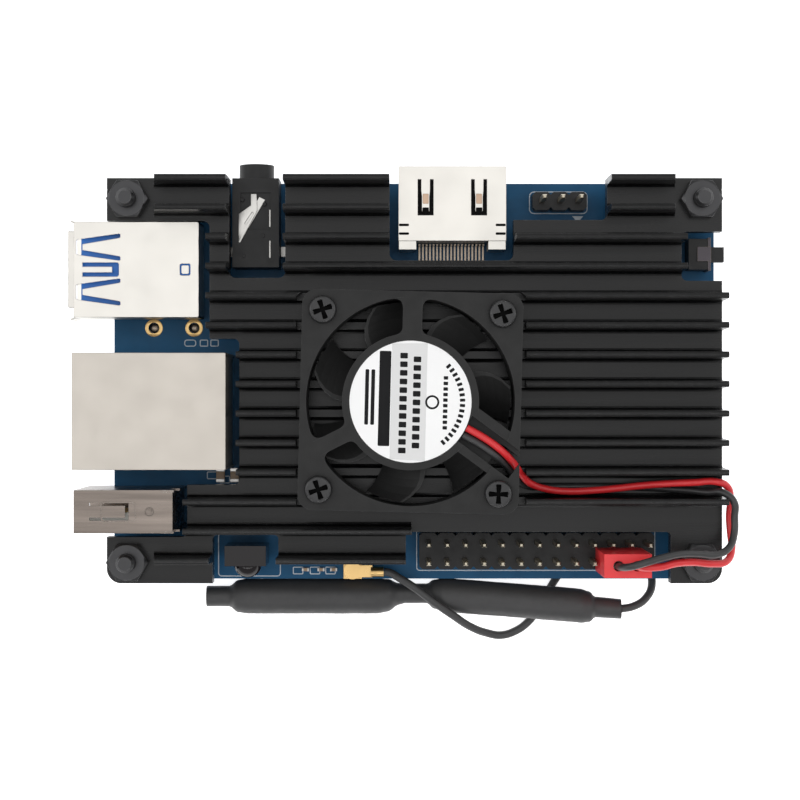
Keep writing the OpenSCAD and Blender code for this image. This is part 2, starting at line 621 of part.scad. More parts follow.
// Plastic strip of a header as an outline with a notch between neighbouring cells
module header_strip(x, y0, y1, columns) {
    notch = 0.4;
    half = pin_pitch / 2;
    upper = [for (n = [0:columns - 1]) each [
        [x + n * pin_pitch - half, y1 - notch], [x + n * pin_pitch - half + notch, y1],
        [x + n * pin_pitch + half - notch, y1]
    ]];
    lower = [for (n = [columns - 1:-1:0]) each [
        [x + n * pin_pitch + half, y0 + notch], [x + n * pin_pitch + half - notch, y0],
        [x + n * pin_pitch - half + notch, y0]
    ]];
    end_x = x + (columns - 1) * pin_pitch + half;
    polygon(concat(upper, [[end_x, y1 - notch]], lower, [[x - half, y0 + notch]]));
}

module pin_hole(z0, z1) translate([-pin_w / 2 - 0.01, -pin_w / 2 - 0.01, z0]) cube([pin_w + 0.02, pin_w + 0.02, z1 - z0]);

module pin_header_base() color("#1c1c1e") in_frame() difference() {
    slab(board_z1, plug_z0) header_strip(header_x, header_y[0] - pin_pitch / 2, header_y[1] + pin_pitch / 2, header_columns);
    at_header_pins() pin_hole(board_z1 - cut, plug_z0 + cut);
}

module pin_header_pins() color("#cfa85a") in_frame()
    at_header_pins() square_pin(board_z0 - pin_tail, board_z1 + header_pin_h);

module serial_header_base() color("#1c1c1e") in_frame() difference() {
    slab(board_z1, plug_z0)
        header_strip(serial_x - pin_pitch, serial_y - pin_pitch / 2, serial_y + pin_pitch / 2, 3);
    at_serial_pins() pin_hole(board_z1 - cut, plug_z0 + cut);
}

module serial_header_pins() color("#cfa85a") in_frame()
    at_serial_pins() square_pin(board_z0 - pin_tail, board_z1 + header_pin_h);

// ---- Push button ----

module button_housing() color("#232325") in_frame() difference() {
    box(38.4, button_y - 2.15, board_z1, 41.1, button_y + 2.15, board_z1 + 3.5);
    box(39.1, button_y - 1.5, button_z - 1.05, 41.1 + cut, button_y + 1.5, button_z + 1.05);
}

module button_cover() color("#cdbfa4") in_frame() difference() {
    union() {
        box(41.1, button_y - 2.3, board_z1, 41.5, button_y + 2.3, board_z1 + 3.6);
        box(39.6, button_y - 1, board_z1 + 3.5, 41.5, button_y + 1, board_z1 + 3.75);
    }
    box(41, button_y - 1.12, button_z - 0.87, 42, button_y + 1.12, button_z + 0.87);
}

module button_plunger() color("#2b2b2d") in_frame() {
    box(40.1, button_y - 1.4, button_z - 0.95, 40.9, button_y + 1.4, button_z + 0.95);
    box(40.8, button_y - 1.05, button_z - 0.8, button_end_x, button_y + 1.05, button_z + 0.8);
}

module button_dome() color("#c9c9c6") in_frame()
    translate([39.1, button_y, button_z]) rotate([0, 90, 0]) difference() {
        cylinder(h = 0.55, r = 1);
        translate([0, 0, -cut]) cylinder(h = cut + 0.4, r = 0.8);
    }

// ---- Infrared receiver ----

module infrared_receiver() color("#1b1418") in_frame() {
    z0 = board_z1 + 0.8;
    box(infrared_x - 2.85, infrared_y - 1.4, z0, infrared_x + 2.85, infrared_y + 1.4, z0 + 6.6);
    intersection() {
        translate([infrared_x + 0.15, infrared_y - 1.25, z0 + 3.8]) sphere(1.95);
        box(infrared_x - 3, infrared_y - 4, z0, infrared_x + 3, infrared_y - 1.2, z0 + 7);
    }
}

module infrared_leads() color("#c9c9c6") in_frame()
    at_infrared_leads() translate([-0.25, -0.25, board_z0 - pin_tail]) cube([0.5, 0.5, board_t + pin_tail + 0.8]);

// ---- Sockets hidden under the heatsink and under the board ----

module power_socket_shell() color("#c9cacc") in_frame() {
    y_mid = -6;
    z_mid = board_z1 + 1.65;
    difference() {
        along_x(half_l - 7.3, half_l) {
            translate([y_mid - 2.9, z_mid]) circle(1.6);
            translate([y_mid + 2.9, z_mid]) circle(1.6);
            translate([y_mid - 2.9, z_mid - 1.6]) square([5.8, 3.2]);
        }
        along_x(half_l - 6.6, half_l + cut) {
            translate([y_mid - 2.9, z_mid]) circle(1.28);
            translate([y_mid + 2.9, z_mid]) circle(1.28);
            translate([y_mid - 2.9, z_mid - 1.28]) square([5.8, 2.56]);
        }
    }
}

module power_socket_tongue() color("#1d1d1f") in_frame()
    box(half_l - 6.6, -9.3, board_z1 + 1.3, half_l - 0.6, -2.7, board_z1 + 2);

module card_socket_shell() color("#c9cacc") in_frame() difference() {
    box(28, -2, board_z0 - 1.45, half_l - 0.2, 12, board_z0);
    box(28.8, -1.75, board_z0 - 1.25, half_l + cut, 11.75, board_z0 + cut);
}

module card_socket_base() color("#1d1d1f") in_frame()
    box(28.9, -1.7, board_z0 - 0.5, half_l - 1.4, 11.7, board_z0);

// ---- Antenna ----

module antenna_socket() color("#cba45a") in_frame() translate([antenna_x, antenna_y, board_z1]) {
    translate([-1.3, -1.3, 0]) cube([2.6, 2.6, 0.35]);
    difference() {
        translate([0, 0, 0.3]) cylinder(h = 0.9, r = 0.95);
        translate([0, 0, 0.5]) cylinder(h = 2, r = 0.7);
    }
}

module antenna_plug() color("#c9a35a") in_frame() translate([antenna_x, antenna_y, board_z1]) difference() {
    union() {
        translate([0, 0, 0.45]) cylinder(h = 1.3, r = 1.25);
        box(0.5, -0.95, 0.75, 2.8, 0.75, 1.75);
        translate([2.6, -0.2, 1.5]) rotate([0, 90, 0]) cylinder(h = 1.8, r = 0.72);
    }
    translate([0, 0, 0]) cylinder(h = 1.35, r = 1);
}

module antenna_cable() color("#333335") in_frame() cord(coax_route, coax_d, [0, 0, 1]);

module antenna_sleeve() color("#333335") in_frame() swept_tube(sleeve_axis, sleeve_radii, 12, [0, 0, 1]);

// ---- Fan ----

disc_t = 1.2;                // plate that carries the motor
strut_t = 1.7;               // depth of the arms that hold the plate
lead_arm = 325;              // direction of the arm that carries the leads

module fan_outline() round_rect(-fan_size / 2, -fan_size / 2, fan_size / 2, fan_size / 2, 2);

module fan_arm(angle, width) rotate(angle) box(hub_r - 0.6, -width / 2, fan_t - strut_t, duct_r + 0.3, width / 2, fan_t);

module fan_frame() color("#343434") in_fan() difference() {
    union() {
        difference() {
            slab(0, fan_t) fan_outline();
            translate([0, 0, -cut]) cylinder(h = fan_t + 2 * cut, r = duct_r);
        }
        translate([0, 0, fan_t - disc_t]) cylinder(h = disc_t, r = hub_r);
        fan_arm(90, 2.6);
        fan_arm(208, 2.1);
        rotate(lead_arm) box(hub_r - 2, -1.6, fan_t - strut_t, duct_r + 0.3, 4.7, fan_t - 0.1);
        translate([0, 0, 1.7]) cylinder(h = fan_t - disc_t - 1.6, r = 2.2);
    }
    translate([0, 0, fan_t - 0.15]) cylinder(h = cut, r = label_r + 0.1);
    translate([0, 0, 0.7]) cylinder(h = 5, r = 1.52);
    at_fan_screws() translate([0, 0, -cut]) cylinder(h = fan_t + 2 * cut, r = 1.5);
    rotate(lead_arm) {
        box(label_r - 0.4, -0.5, fan_t - strut_t + 0.3, 16.6, 3.4, fan_t + cut);
        box(duct_r - 0.75, -0.5, -cut, 20, 2.7, fan_t - strut_t + 0.6);
    }
}

// A blade: rows of points from the root to the tip, once for its front and once for its
// back, at each of several heights; it twists round the hub and sweeps back as it rises
module fan_blade() {
    height = 4.3;
    twist = 32;
    root_t = 0.7;
    tip_t = 0.4;
    rows = 5;
    steps = 5;
    root_r = rotor_r - 0.4;
    function blade_point(row, step, back) =
        let (
            up = row / rows,
            out = step / steps,
            r = root_r + out * (blade_tip_r - root_r),
            thick = back ? (root_t + out * (tip_t - root_t)) / r * 180 / PI : 0,
            a = twist * up - (5 + 12 * up) * out * out - thick
        ) [r * cos(a), r * sin(a), 0.6 + height * up];
    count = 2 * (steps + 1);
    points = [
        for (row = [0:rows]) each concat(
            [for (step = [0:steps]) blade_point(row, step, false)],
            [for (step = [steps:-1:0]) blade_point(row, step, true)]
        )
    ];
    walls = [
        for (row = [0:rows - 1], k = [0:count - 1])
            let (a = row * count + k, b = row * count + (k + 1) % count) each
                [[b, a + count, a], [b + count, a + count, b]]
    ];
    top = rows * count;
    ends = [
        for (k = [0:steps - 1]) let (a = k, b = count - 1 - k) each [
            [b, a + 1, a], [b, b - 1, a + 1],
            [top + a, top + a + 1, top + b], [top + a + 1, top + b - 1, top + b]
        ]
    ];
    polyhedron(points, concat(walls, ends));
}

module fan_rotor() color("#2c2c2c") in_fan() {
    difference() {
        translate([0, 0, 0.35]) cylinder(h = 4.65, r = rotor_r);
        translate([0, 0, 1.35]) cylinder(h = 5, r = 8);
        translate([0, 0, 0.7]) cylinder(h = 2, r = shaft_r);
    }
    for (k = [0:blade_count - 1]) rotate(k * 360 / blade_count + blade_turn) fan_blade();
}

module fan_magnet() color("#5a5a5e") in_fan() translate([0, 0, 1.4]) difference() {
    cylinder(h = 3.5, r = 7.98);
    translate([0, 0, -cut]) cylinder(h = 3.5 + 2 * cut, r = 6.9);
}

module fan_shaft() color("#c6c6c8") in_fan() translate([0, 0, 0.7]) cylinder(h = 4.6, r = shaft_r);

module fan_bearing() color("#a98c5c") in_fan() translate([0, 0, 1.75]) difference() {
    cylinder(h = 3.9, r = 1.5);
    translate([0, 0, -cut]) cylinder(h = 3.9 + 2 * cut, r = shaft_r + bearing_gap);
}

module fan_stator() color("#8a5a36") in_fan() difference() {
    union() {
        translate([0, 0, 2.2]) cylinder(h = 2.6, r = 3.1);
        for (a = [0:90:270]) rotate(a) {
            box(2.6, -1.3, 2.2, 5.6, 1.3, 4.8);
            intersection() {
                box(5.3, -3.2, 2.6, 7, 3.2, 4.4);
                translate([0, 0, 2.4]) cylinder(h = 2.4, r = 6.45);
            }
        }
    }
    translate([0, 0, 1]) cylinder(h = 6, r = 2.25);
}

module fan_label() color("#efefef") in_fan() translate([0, 0, fan_t - 0.15]) cylinder(h = 0.1, r = label_r);

module fan_screws() color("#4a4a4a") in_fan() at_fan_screws() translate([0, 0, fan_t]) difference() {
    head_r = 1.9;
    head_h = 1.1;
    rotate_extrude() polygon([
        [0, -fan_t - 1.7], [1.2, -fan_t - 1.7], [1.2, 0], [head_r, 0],
        [head_r, head_h - 0.45], [head_r - 0.45, head_h], [0, head_h]
    ]);
    for (a = [0, 90]) rotate(a) box(-1.2, -0.32, head_h - 0.75, 1.2, 0.32, head_h + cut);
}

module fan_plug() color("#e02f38") in_frame() difference() {
    box(plug_x - 3.2, plug_y - 1.6, plug_z0, plug_x + 3.2, plug_y + 1.6, plug_z1);
    for (s = [-1, 1]) translate([plug_x + s * pin_pitch / 2, plug_y, 0]) {
        box(-1, -1, plug_z0 - cut, 1, 1, plug_z1 - 1.2);
        translate([0, 0, plug_z1 - 2]) cylinder(h = 4, r = 0.7, $fn = 24);
    }
}

module fan_plug_contacts() color("#c8c8c4") in_frame()
    for (s = [-1, 1]) translate([plug_x + s * pin_pitch / 2, plug_y, 0]) difference() {
        box(-0.8, -0.8, plug_z0 + 0.6, 0.8, 0.8, plug_z0 + 8);
        box(-0.55, -0.55, plug_z0 + 0.5, 0.55, 0.55, plug_z0 + 7.5);
    }

module fan_lead_red() color("#c92b30") in_frame() cord(red_route, lead_d, [1, -1, 1]);

module fan_lead_black() color("#2d2d2f") in_frame() cord(black_route, lead_d, [1, -1, 1]);

circuit_board();
small_parts();
main_chip();
memory_chips();
storage_chip();
power_chip();
network_chip();
wireless_module();
power_coils();
clock_crystal();
thermal_pads();
heatsink();
corner_bolts();
corner_nuts();
corner_spacers();
usb3_shell();
usb3_insulator();
usb3_contacts();
network_shell();
network_housing();
network_contacts();
network_lamps();
usb2_shell();
usb2_insulator();
usb2_contacts();
sound_socket_body();
sound_socket_contacts();
video_shell();
video_insulator();
video_contacts();
serial_header_base();
serial_header_pins();
pin_header_base();
pin_header_pins();
button_housing();
button_cover();
button_plunger();
button_dome();
infrared_receiver();
infrared_leads();
power_socket_shell();
power_socket_tongue();
card_socket_shell();
card_socket_base();
antenna_socket();
antenna_plug();
antenna_cable();
antenna_sleeve();
fan_frame();
fan_rotor();
fan_magnet();
fan_shaft();
fan_bearing();
fan_stator();
fan_label();
fan_screws();
fan_plug();
fan_plug_contacts();
fan_lead_red();
fan_lead_black();
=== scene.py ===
"""A single board computer with a finned heatsink and a fan, seen from straight above.

Places in this file are in millimetres in the board's own coordinates: x and y from the
middle of the four corner holes and z up from the surface that the bolt heads stand on.
"""
import json
import math

import bmesh
import bpy
from mathutils import Matrix, Vector
from mathutils import noise as field


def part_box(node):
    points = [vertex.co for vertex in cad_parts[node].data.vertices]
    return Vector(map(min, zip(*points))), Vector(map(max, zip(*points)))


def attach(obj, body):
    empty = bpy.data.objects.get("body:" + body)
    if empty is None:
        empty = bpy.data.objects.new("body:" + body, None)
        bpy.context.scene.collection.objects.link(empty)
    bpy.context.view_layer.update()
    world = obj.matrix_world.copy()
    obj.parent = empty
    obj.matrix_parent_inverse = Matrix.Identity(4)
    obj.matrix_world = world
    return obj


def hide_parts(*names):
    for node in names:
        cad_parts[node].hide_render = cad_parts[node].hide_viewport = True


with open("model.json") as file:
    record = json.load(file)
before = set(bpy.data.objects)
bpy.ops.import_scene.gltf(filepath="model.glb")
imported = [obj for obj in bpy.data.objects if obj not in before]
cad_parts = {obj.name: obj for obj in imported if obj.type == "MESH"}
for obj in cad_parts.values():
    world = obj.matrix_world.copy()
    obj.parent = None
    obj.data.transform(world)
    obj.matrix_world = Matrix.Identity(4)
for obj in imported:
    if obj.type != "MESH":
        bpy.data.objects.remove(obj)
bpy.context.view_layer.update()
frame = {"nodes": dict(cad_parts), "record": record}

MM = 0.001
board_low, board_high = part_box("circuit_board")
ORIGIN = (board_low + board_high) / 2
BOARD_Z1 = board_high.z / MM


def place(x, y, z=0.0):
    """A point given in board millimetres, as metres in the frame."""
    return Vector((ORIGIN.x + x * MM, ORIGIN.y + y * MM, z * MM))


# ---- Camera ----

LENS = 84.07
SENSOR = 36
CAMERA_SPOT = (-2.0, -2.67, 268.8)


def make_camera():
    data = bpy.data.cameras.new("camera")
    data.lens = LENS
    data.sensor_width = SENSOR
    data.clip_start = 0.01
    camera = bpy.data.objects.new("camera", data)
    camera.location = place(*CAMERA_SPOT)
    bpy.context.scene.collection.objects.link(camera)
    bpy.context.scene.camera = camera


# ---- Node helpers for materials ----

class Shade:
    """A principled material with short ways to add nodes to it. Sizes are in millimetres."""

    def __init__(self, name):
        self.material = bpy.data.materials.new(name)
        self.material.use_nodes = True
        self.tree = self.material.node_tree
        self.shader = self.tree.nodes["Principled BSDF"]
        self.coords = self.node("ShaderNodeTexCoord").outputs["Object"]

    def node(self, kind, settings=None, **inputs):
        """Adds a node; inputs are values or the outputs of other nodes, by socket name."""
        made = self.tree.nodes.new(kind)
        for key, value in (settings or {}).items():
            setattr(made, key, value)
        for key, value in inputs.items():
            self.feed(made.inputs[key.replace("_", " ")], value)
        return made

    def feed(self, socket, value):
        if isinstance(value, bpy.types.NodeSocket):
            self.tree.links.new(value, socket)
        else:
            socket.default_value = value

    def set(self, **inputs):
        """Sets or links inputs of the principled shader."""
        for key, value in inputs.items():
            self.feed(self.shader.inputs[key.replace("_", " ")], value)

    def noise(self, size, detail, stretch=(1, 1, 1)):
        scaled = self.node("ShaderNodeMapping", Vector=self.coords, Scale=stretch)
        made = self.node("ShaderNodeTexNoise", Vector=scaled.outputs[0], Scale=1 / (size * MM), Detail=detail)
        return made.outputs["Fac"]

    def remap(self, value, low, high, to_low=0.0, to_high=1.0):
        made = self.node("ShaderNodeMapRange")
        for socket, given in zip(made.inputs, (value, low, high, to_low, to_high)):
            self.feed(socket, given)
        return made.outputs[0]

    def math(self, operation, first, second=0.0):
        made = self.node("ShaderNodeMath", {"operation": operation})
        self.feed(made.inputs[0], first)
        self.feed(made.inputs[1], second)
        return made.outputs[0]

    def blend(self, share, first, second):
        made = self.node("ShaderNodeMix", {"data_type": "RGBA"})
        self.feed(made.inputs["Factor"], share)
        self.feed(made.inputs[6], first)
        self.feed(made.inputs[7], second)
        return made.outputs[2]

    def soft_normal(self, radius):
        return self.node("ShaderNodeBevel", {"samples": 4}, Radius=radius * MM).outputs[0]

    def bump(self, height, depth, normal):
        made = self.node("ShaderNodeBump", Height=height, Distance=depth * MM, Strength=1.0, Normal=normal)
        return made.outputs[0]

    def edges(self, radius, gain):
        """A mask that is bright where the surface turns a corner."""
        soft = self.soft_normal(radius)
        true = self.node("ShaderNodeNewGeometry").outputs["True Normal"]
        dot = self.node("ShaderNodeVectorMath", {"operation": "DOT_PRODUCT"})
        self.feed(dot.inputs[0], soft)
        self.feed(dot.inputs[1], true)
        away = self.math("SUBTRACT", 1.0, dot.outputs["Value"])
        return self.remap(away, 0.0, 1 / gain)


def rgba(colour):
    return (*colour, 1.0)


def tinted(colour, factor):
    return rgba([min(1.0, c * factor) for c in colour])


def surface(name, colour, roughness, metallic=0.0, mottle=0.15, mottle_size=4.0, grain=0.12, depth=0.004,
            stretch=(1, 1, 1), soft=0.06, edge_wear_and_glint=None, specular=0.5):
    """A finish with uneven colour and gloss, a fine grain, rounded edges and, with an edge colour given,
    edges tinted that colour: real wear on some finishes, a painted highlight on others.
    """
    s = Shade(name)
    patches = s.noise(mottle_size, 4.0, stretch)
    tone = s.blend(patches, tinted(colour, 1 - mottle), tinted(colour, 1 + mottle))
    # Edges tinted a set colour: on some finishes wear, on others a painted highlight standing in for light
    # caught along edges.
    if edge_wear_and_glint:
        wear_and_glint_mask = s.math("MULTIPLY", s.edges(0.1, 3.0), s.remap(s.noise(0.8, 3.0), 0.3, 0.75))
        tone = s.blend(wear_and_glint_mask, tone, rgba(edge_wear_and_glint))
    fine = s.noise(grain, 3.0, stretch)
    uneven = s.noise(mottle_size * 0.4, 5.0, stretch)
    gloss = s.remap(uneven, 0.25, 0.75, roughness * 0.85, min(1, roughness * 1.2))
    s.set(Base_Color=tone, Roughness=gloss, Normal=s.bump(fine, depth, s.soft_normal(soft)))
    s.set(Metallic=metallic, Specular_IOR_Level=specular)
    return s.material


def make_materials():
    return {
        "board_laminate": surface("board_laminate", (0.01, 0.075, 0.165), 0.4, mottle=0.3, specular=0.15),
        "ceramic_parts": surface("ceramic_parts", (0.32, 0.22, 0.14), 0.5),
        "chip_body": surface("chip_body", (0.02, 0.021, 0.023), 0.55, depth=0.01),
        "tin_shield": surface("tin_shield", (0.72, 0.72, 0.71), 0.32, 1.0),
        "ferrite": surface("ferrite", (0.05, 0.05, 0.053), 0.6),
        "thermal_pad": surface("thermal_pad", (0.25, 0.29, 0.32), 0.85, depth=0.02),
        # The heatsink's pale edge colour is a painted highlight for the light lines along its fin tips.
        "black_anodised": surface("black_anodised", (0.005, 0.005, 0.0053), 0.26, mottle=0.4, grain=0.1,
                                  stretch=(0.04, 1, 1), edge_wear_and_glint=(0.28, 0.28, 0.28), soft=0.08, specular=0.3),
        "black_steel": surface("black_steel", (0.05, 0.05, 0.052), 0.3, 0.85, edge_wear_and_glint=(0.6, 0.6, 0.6),
                               soft=0.12),
        "plated_spacer": surface("plated_spacer", (0.6, 0.6, 0.58), 0.3, 1.0),
        "plated_shell": surface("plated_shell", (0.64, 0.62, 0.58), 0.34, 1.0, mottle=0.06, mottle_size=9,
                                depth=0.001, edge_wear_and_glint=(0.16, 0.14, 0.12)),
        "nickel_shell": surface("nickel_shell", (0.5, 0.465, 0.42), 0.42, 1.0, mottle=0.03, mottle_size=9,
                                depth=0.001, edge_wear_and_glint=(0.1, 0.09, 0.08)),
        "brushed_shell": surface("brushed_shell", (0.2, 0.17, 0.15), 0.26, 1.0, mottle=0.75, mottle_size=1.6,
                                 edge_wear_and_glint=(0.5, 0.48, 0.45), stretch=(0.06, 1, 1)),
        "blue_plastic": surface("blue_plastic", (0.012, 0.16, 0.58), 0.4),
        "white_plastic": surface("white_plastic", (0.8, 0.79, 0.74), 0.45),
        "black_plastic": surface("black_plastic", (0.009, 0.009, 0.0095), 0.42, depth=0.008, specular=0.3,
                                 edge_wear_and_glint=(0.06, 0.06, 0.06)),
        "lamp_plastic": surface("lamp_plastic", (0.5, 0.62, 0.2), 0.2),
        "gold_contact": surface("gold_contact", (0.62, 0.42, 0.18), 0.3, 1.0),
        "tin_contact": surface("tin_contact", (0.5, 0.49, 0.47), 0.3, 1.0),
        "infrared_plastic": surface("infrared_plastic", (0.006, 0.004, 0.005), 0.12, specular=0.3),
        "cable_jacket": surface("cable_jacket", (0.035, 0.035, 0.036), 0.5),
        "shrink_sleeve": surface("shrink_sleeve", (0.032, 0.032, 0.033), 0.52, mottle_size=2.0),
        # The fan's pale edge colour is a painted highlight for the light rim around its frame and duct.
        "fan_plastic": surface("fan_plastic", (0.017, 0.017, 0.017), 0.55, depth=0.012, grain=0.2,
                               specular=0.25, edge_wear_and_glint=(0.12, 0.12, 0.12)),
        "bright_steel": surface("bright_steel", (0.7, 0.7, 0.7), 0.2, 1.0),
        "bronze": surface("bronze", (0.5, 0.36, 0.17), 0.4, 1.0),
        "copper_winding": surface("copper_winding", (0.55, 0.2, 0.08), 0.35, 1.0, stretch=(1, 1, 8)),
        "label_film": surface("label_film", (0.86, 0.86, 0.86), 0.4, mottle=0.02),
        "red_plastic": surface("red_plastic", (0.72, 0.03, 0.035), 0.4),
        "red_lead": surface("red_lead", (0.62, 0.02, 0.025), 0.35),
        "black_lead": surface("black_lead", (0.025, 0.025, 0.026), 0.4),
        "label_band": surface("label_band", (0.66, 0.66, 0.66), 0.4, mottle=0.02),
        "ink_dark": surface("ink_dark", (0.01, 0.01, 0.011), 0.5, specular=0.1),
        "board_ink": surface("board_ink", (0.5, 0.55, 0.6), 0.6),
        # The screws' pale edge colour is a painted highlight on the rims of their heads.
        "screw_black": surface("screw_black", (0.03, 0.03, 0.031), 0.3, 0.5, edge_wear_and_glint=(0.25, 0.25, 0.25)),
        # Near-black with almost no reflection: painted shade for the bottoms of the screw recesses and for
        # the openings and notches of the video socket.
        "painted_recess_shade": surface("painted_recess_shade", (0.003, 0.003, 0.003), 0.6, specular=0.05),
        "switch_plate": surface("switch_plate", (0.06, 0.05, 0.06), 0.35, 0.3, edge_wear_and_glint=(0.5, 0.42, 0.3)),
        "pin_tips": surface("pin_tips", (0.42, 0.38, 0.3), 0.35, 1.0),
        "contact_tin": surface("contact_tin", (0.3, 0.25, 0.2), 0.3, 1.0, mottle=0.3, mottle_size=0.5),
        "spring_bronze": surface("spring_bronze", (0.42, 0.3, 0.22), 0.3, 1.0),
    }


# ---- Cords ----

COAX_ROUTE = [
    (-4.25, -26.9, 5.3), (-3.5, -27, 5.3), (-2.2, -27.7, 5.5), (0.2, -29.2, 5.7), (2.9, -31.2, 5.9),
    (5.5, -33.1, 4.9), (8, -34.9, 3), (10.4, -36, 1.4), (12.6, -36.4, 0.7),
    (14.6, -35.8, 0.6), (16.3, -34.6, 0.6), (17.7, -32.8, 0.6), (19, -30.6, 0.6),
    (20.3, -28.4, 0.6), (22, -26.3, 0.6), (24.2, -24.7, 0.6), (26.8, -23.9, 0.6),
    (29.5, -24, 0.6), (31.9, -25, 0.6), (33.6, -26.8, 0.8), (34, -29, 1.7),
    (32.9, -30.9, 3.1), (31, -31.9, 4.2), (29.2, -32.2, 4.6),
]
RED_ROUTE = [
    (6.9, -6.4, 18.9), (9.2, -7.7, 19), (11.2, -9.1, 18.9), (12.7, -10.5, 17.8),
    (13.7, -11.7, 16.2), (14.5, -12.8, 14.8), (15.9, -14.1, 13.5), (18.2, -14.9, 12.8),
    (21, -15.2, 12.5), (24.2, -15.1, 12.5), (27.6, -14.8, 12.6), (31, -14.4, 13),
    (34.6, -14.1, 13.6), (38.2, -13.9, 14.1), (41.1, -13.8, 14.2), (42.7, -14.5, 13.6),
    (43.3, -16.2, 12.7), (43.3, -18.6, 11.9), (43.4, -21, 12.2), (43.4, -23, 13.2),
    (42.4, -24.6, 14.8), (40.2, -24.8, 16.2), (37.6, -24.5, 17.5), (35, -24.5, 19),
    (32.6, -24.9, 20.1), (30.7, -25, 19.9), (29.9, -25, 18.6), (29.9, -25, 16.9),
]
BLACK_ROUTE = [
    (6.4, -7.4, 18.9), (8.6, -8.6, 18.9), (10.6, -10, 18.6), (12.1, -11.3, 17),
    (13, -12.4, 15.1), (13.9, -13.5, 13.5), (15.6, -14.5, 12.2), (18, -14.6, 11.5),
    (21.2, -14.6, 11.4), (24.6, -14.6, 11.4), (28, -14.6, 11.4), (31.4, -14.7, 11.5),
    (34.8, -14.9, 11.7), (37.8, -15.1, 12.3), (40, -15.3, 13.5), (42, -15.3, 14.9),
    (43.3, -16.5, 15.4), (43.5, -18.6, 14.8), (43.4, -20.8, 15), (42.6, -22.6, 15.9),
    (40.7, -23.5, 17), (38.2, -23.3, 18.2), (35.6, -23.2, 19.5), (33, -23.6, 20.7),
    (30.6, -24.2, 21.4), (28.6, -24.8, 20.9), (27.5, -25, 19.2), (27.4, -25, 16.9),
]
SLEEVE_AXIS = [
    (-29.5, -30.6, 2.55), (-26.3, -30.6, 2.55), (-25, -30.6, 2.55), (-23.8, -30.6, 2.55),
    (-5.2, -30.6, 2.55), (-3.7, -30.5, 2.55), (-2.2, -30.3, 2.6), (-1.2, -30.2, 2.65),
    (1.8, -30.2, 2.7), (2.8, -30.3, 2.75), (4.2, -30.4, 2.85), (13, -31, 3.5),
    (23.6, -31.8, 4.25), (24.8, -31.9, 4.3), (25.6, -31.95, 4.4), (29.2, -32.2, 4.6),
]
SLEEVE_RADII = [1.5, 1.5, 2.35, 2.53, 2.53, 2.35, 1.6, 1.43, 1.43, 2.1, 2.45, 2.45, 2.45, 2.2, 1.5, 1.45]
SLEEVE_SIDES = 40
SLEEVE_STEP = 0.35           # between rings along the sleeve
COAX_D = 1.13
LEAD_D = 1.0


def cord_curve(name, node, route, diameter, slot, finishes):
    """One smooth round cord through the route's points, in place of its CAD node."""
    data = bpy.data.curves.new(name, "CURVE")
    data.dimensions = "3D"
    data.bevel_depth = diameter / 2 * MM
    data.bevel_resolution = 5
    data.resolution_u = 8
    data.use_fill_caps = True
    line = data.splines.new("BEZIER")
    line.bezier_points.add(len(route) - 1)
    for point, spot in zip(line.bezier_points, route):
        point.co = place(*spot)
        point.handle_left_type = "AUTO"
        point.handle_right_type = "AUTO"
    data.materials.append(finishes[slot])
    obj = bpy.data.objects.new(name, data)
    bpy.context.scene.collection.objects.link(obj)
    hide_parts(node)
    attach(obj, "board")
    return obj


def sleeve_ring(shape, centre, radius):
    """One ring of the sleeve, with slight waves and small wrinkles."""
    ring = []
    for side in range(SLEEVE_SIDES):
        turn = 2 * math.pi * side / SLEEVE_SIDES
        around = Vector((0.12, math.cos(turn), math.sin(turn)))
        wave = 0.035 * field.noise(centre * 0.35 + around * 1.5)
        wrinkle = 0.02 * field.noise(centre * 1.6 + around * 3)
        reach = radius - 0.04 + (wave + wrinkle)
        spot = centre + Vector((0, math.cos(turn) * reach, math.sin(turn) * reach))
        ring.append(shape.verts.new(place(*spot)))
    return ring


def make_sleeve(finish):
    """The antenna's shrink tubing, with smooth shoulders between its radii."""
    shape = bmesh.new()
    rings = []
    last = len(SLEEVE_AXIS) - 2
    for k in range(last + 1):
        start, end = Vector(SLEEVE_AXIS[k]), Vector(SLEEVE_AXIS[k + 1])
        steps = max(3, round((end - start).length / SLEEVE_STEP))
        for step in range(steps + (k == last)):
            t = step / steps
            ease = t * t * (3 - 2 * t)
            radius = SLEEVE_RADII[k] + (SLEEVE_RADII[k + 1] - SLEEVE_RADII[k]) * ease
            rings.append(sleeve_ring(shape, start.lerp(end, t), radius))
    for one, two in zip(rings, rings[1:]):
        for k in range(SLEEVE_SIDES):
            j = (k + 1) % SLEEVE_SIDES
            shape.faces.new((one[k], one[j], two[j], two[k]))
    for ring in (rings[0], rings[-1]):
        shape.faces.new(ring)
    bmesh.ops.recalc_face_normals(shape, faces=shape.faces)
    for face in shape.faces:
        face.smooth = len(face.verts) == 4
    data = bpy.data.meshes.new("antenna_shrink_sleeve")
    shape.to_mesh(data)
    shape.free()
    data.materials.append(finish)
    obj = bpy.data.objects.new("antenna_shrink_sleeve", data)
    bpy.context.scene.collection.objects.link(obj)
    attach(obj, "board")
    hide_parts("antenna_sleeve")
    return obj


def make_cords(finishes):
    sleeve = make_sleeve(finishes["shrink_sleeve"])
    coax = cord_curve("antenna_coax", "antenna_cable", COAX_ROUTE, COAX_D, "cable_jacket", finishes)
    red = cord_curve("red_wire", "fan_lead_red", RED_ROUTE, LEAD_D, "red_lead", finishes)
    black = cord_curve("black_wire", "fan_lead_black", BLACK_ROUTE, LEAD_D, "black_lead", finishes)


# ---- Shapes ----

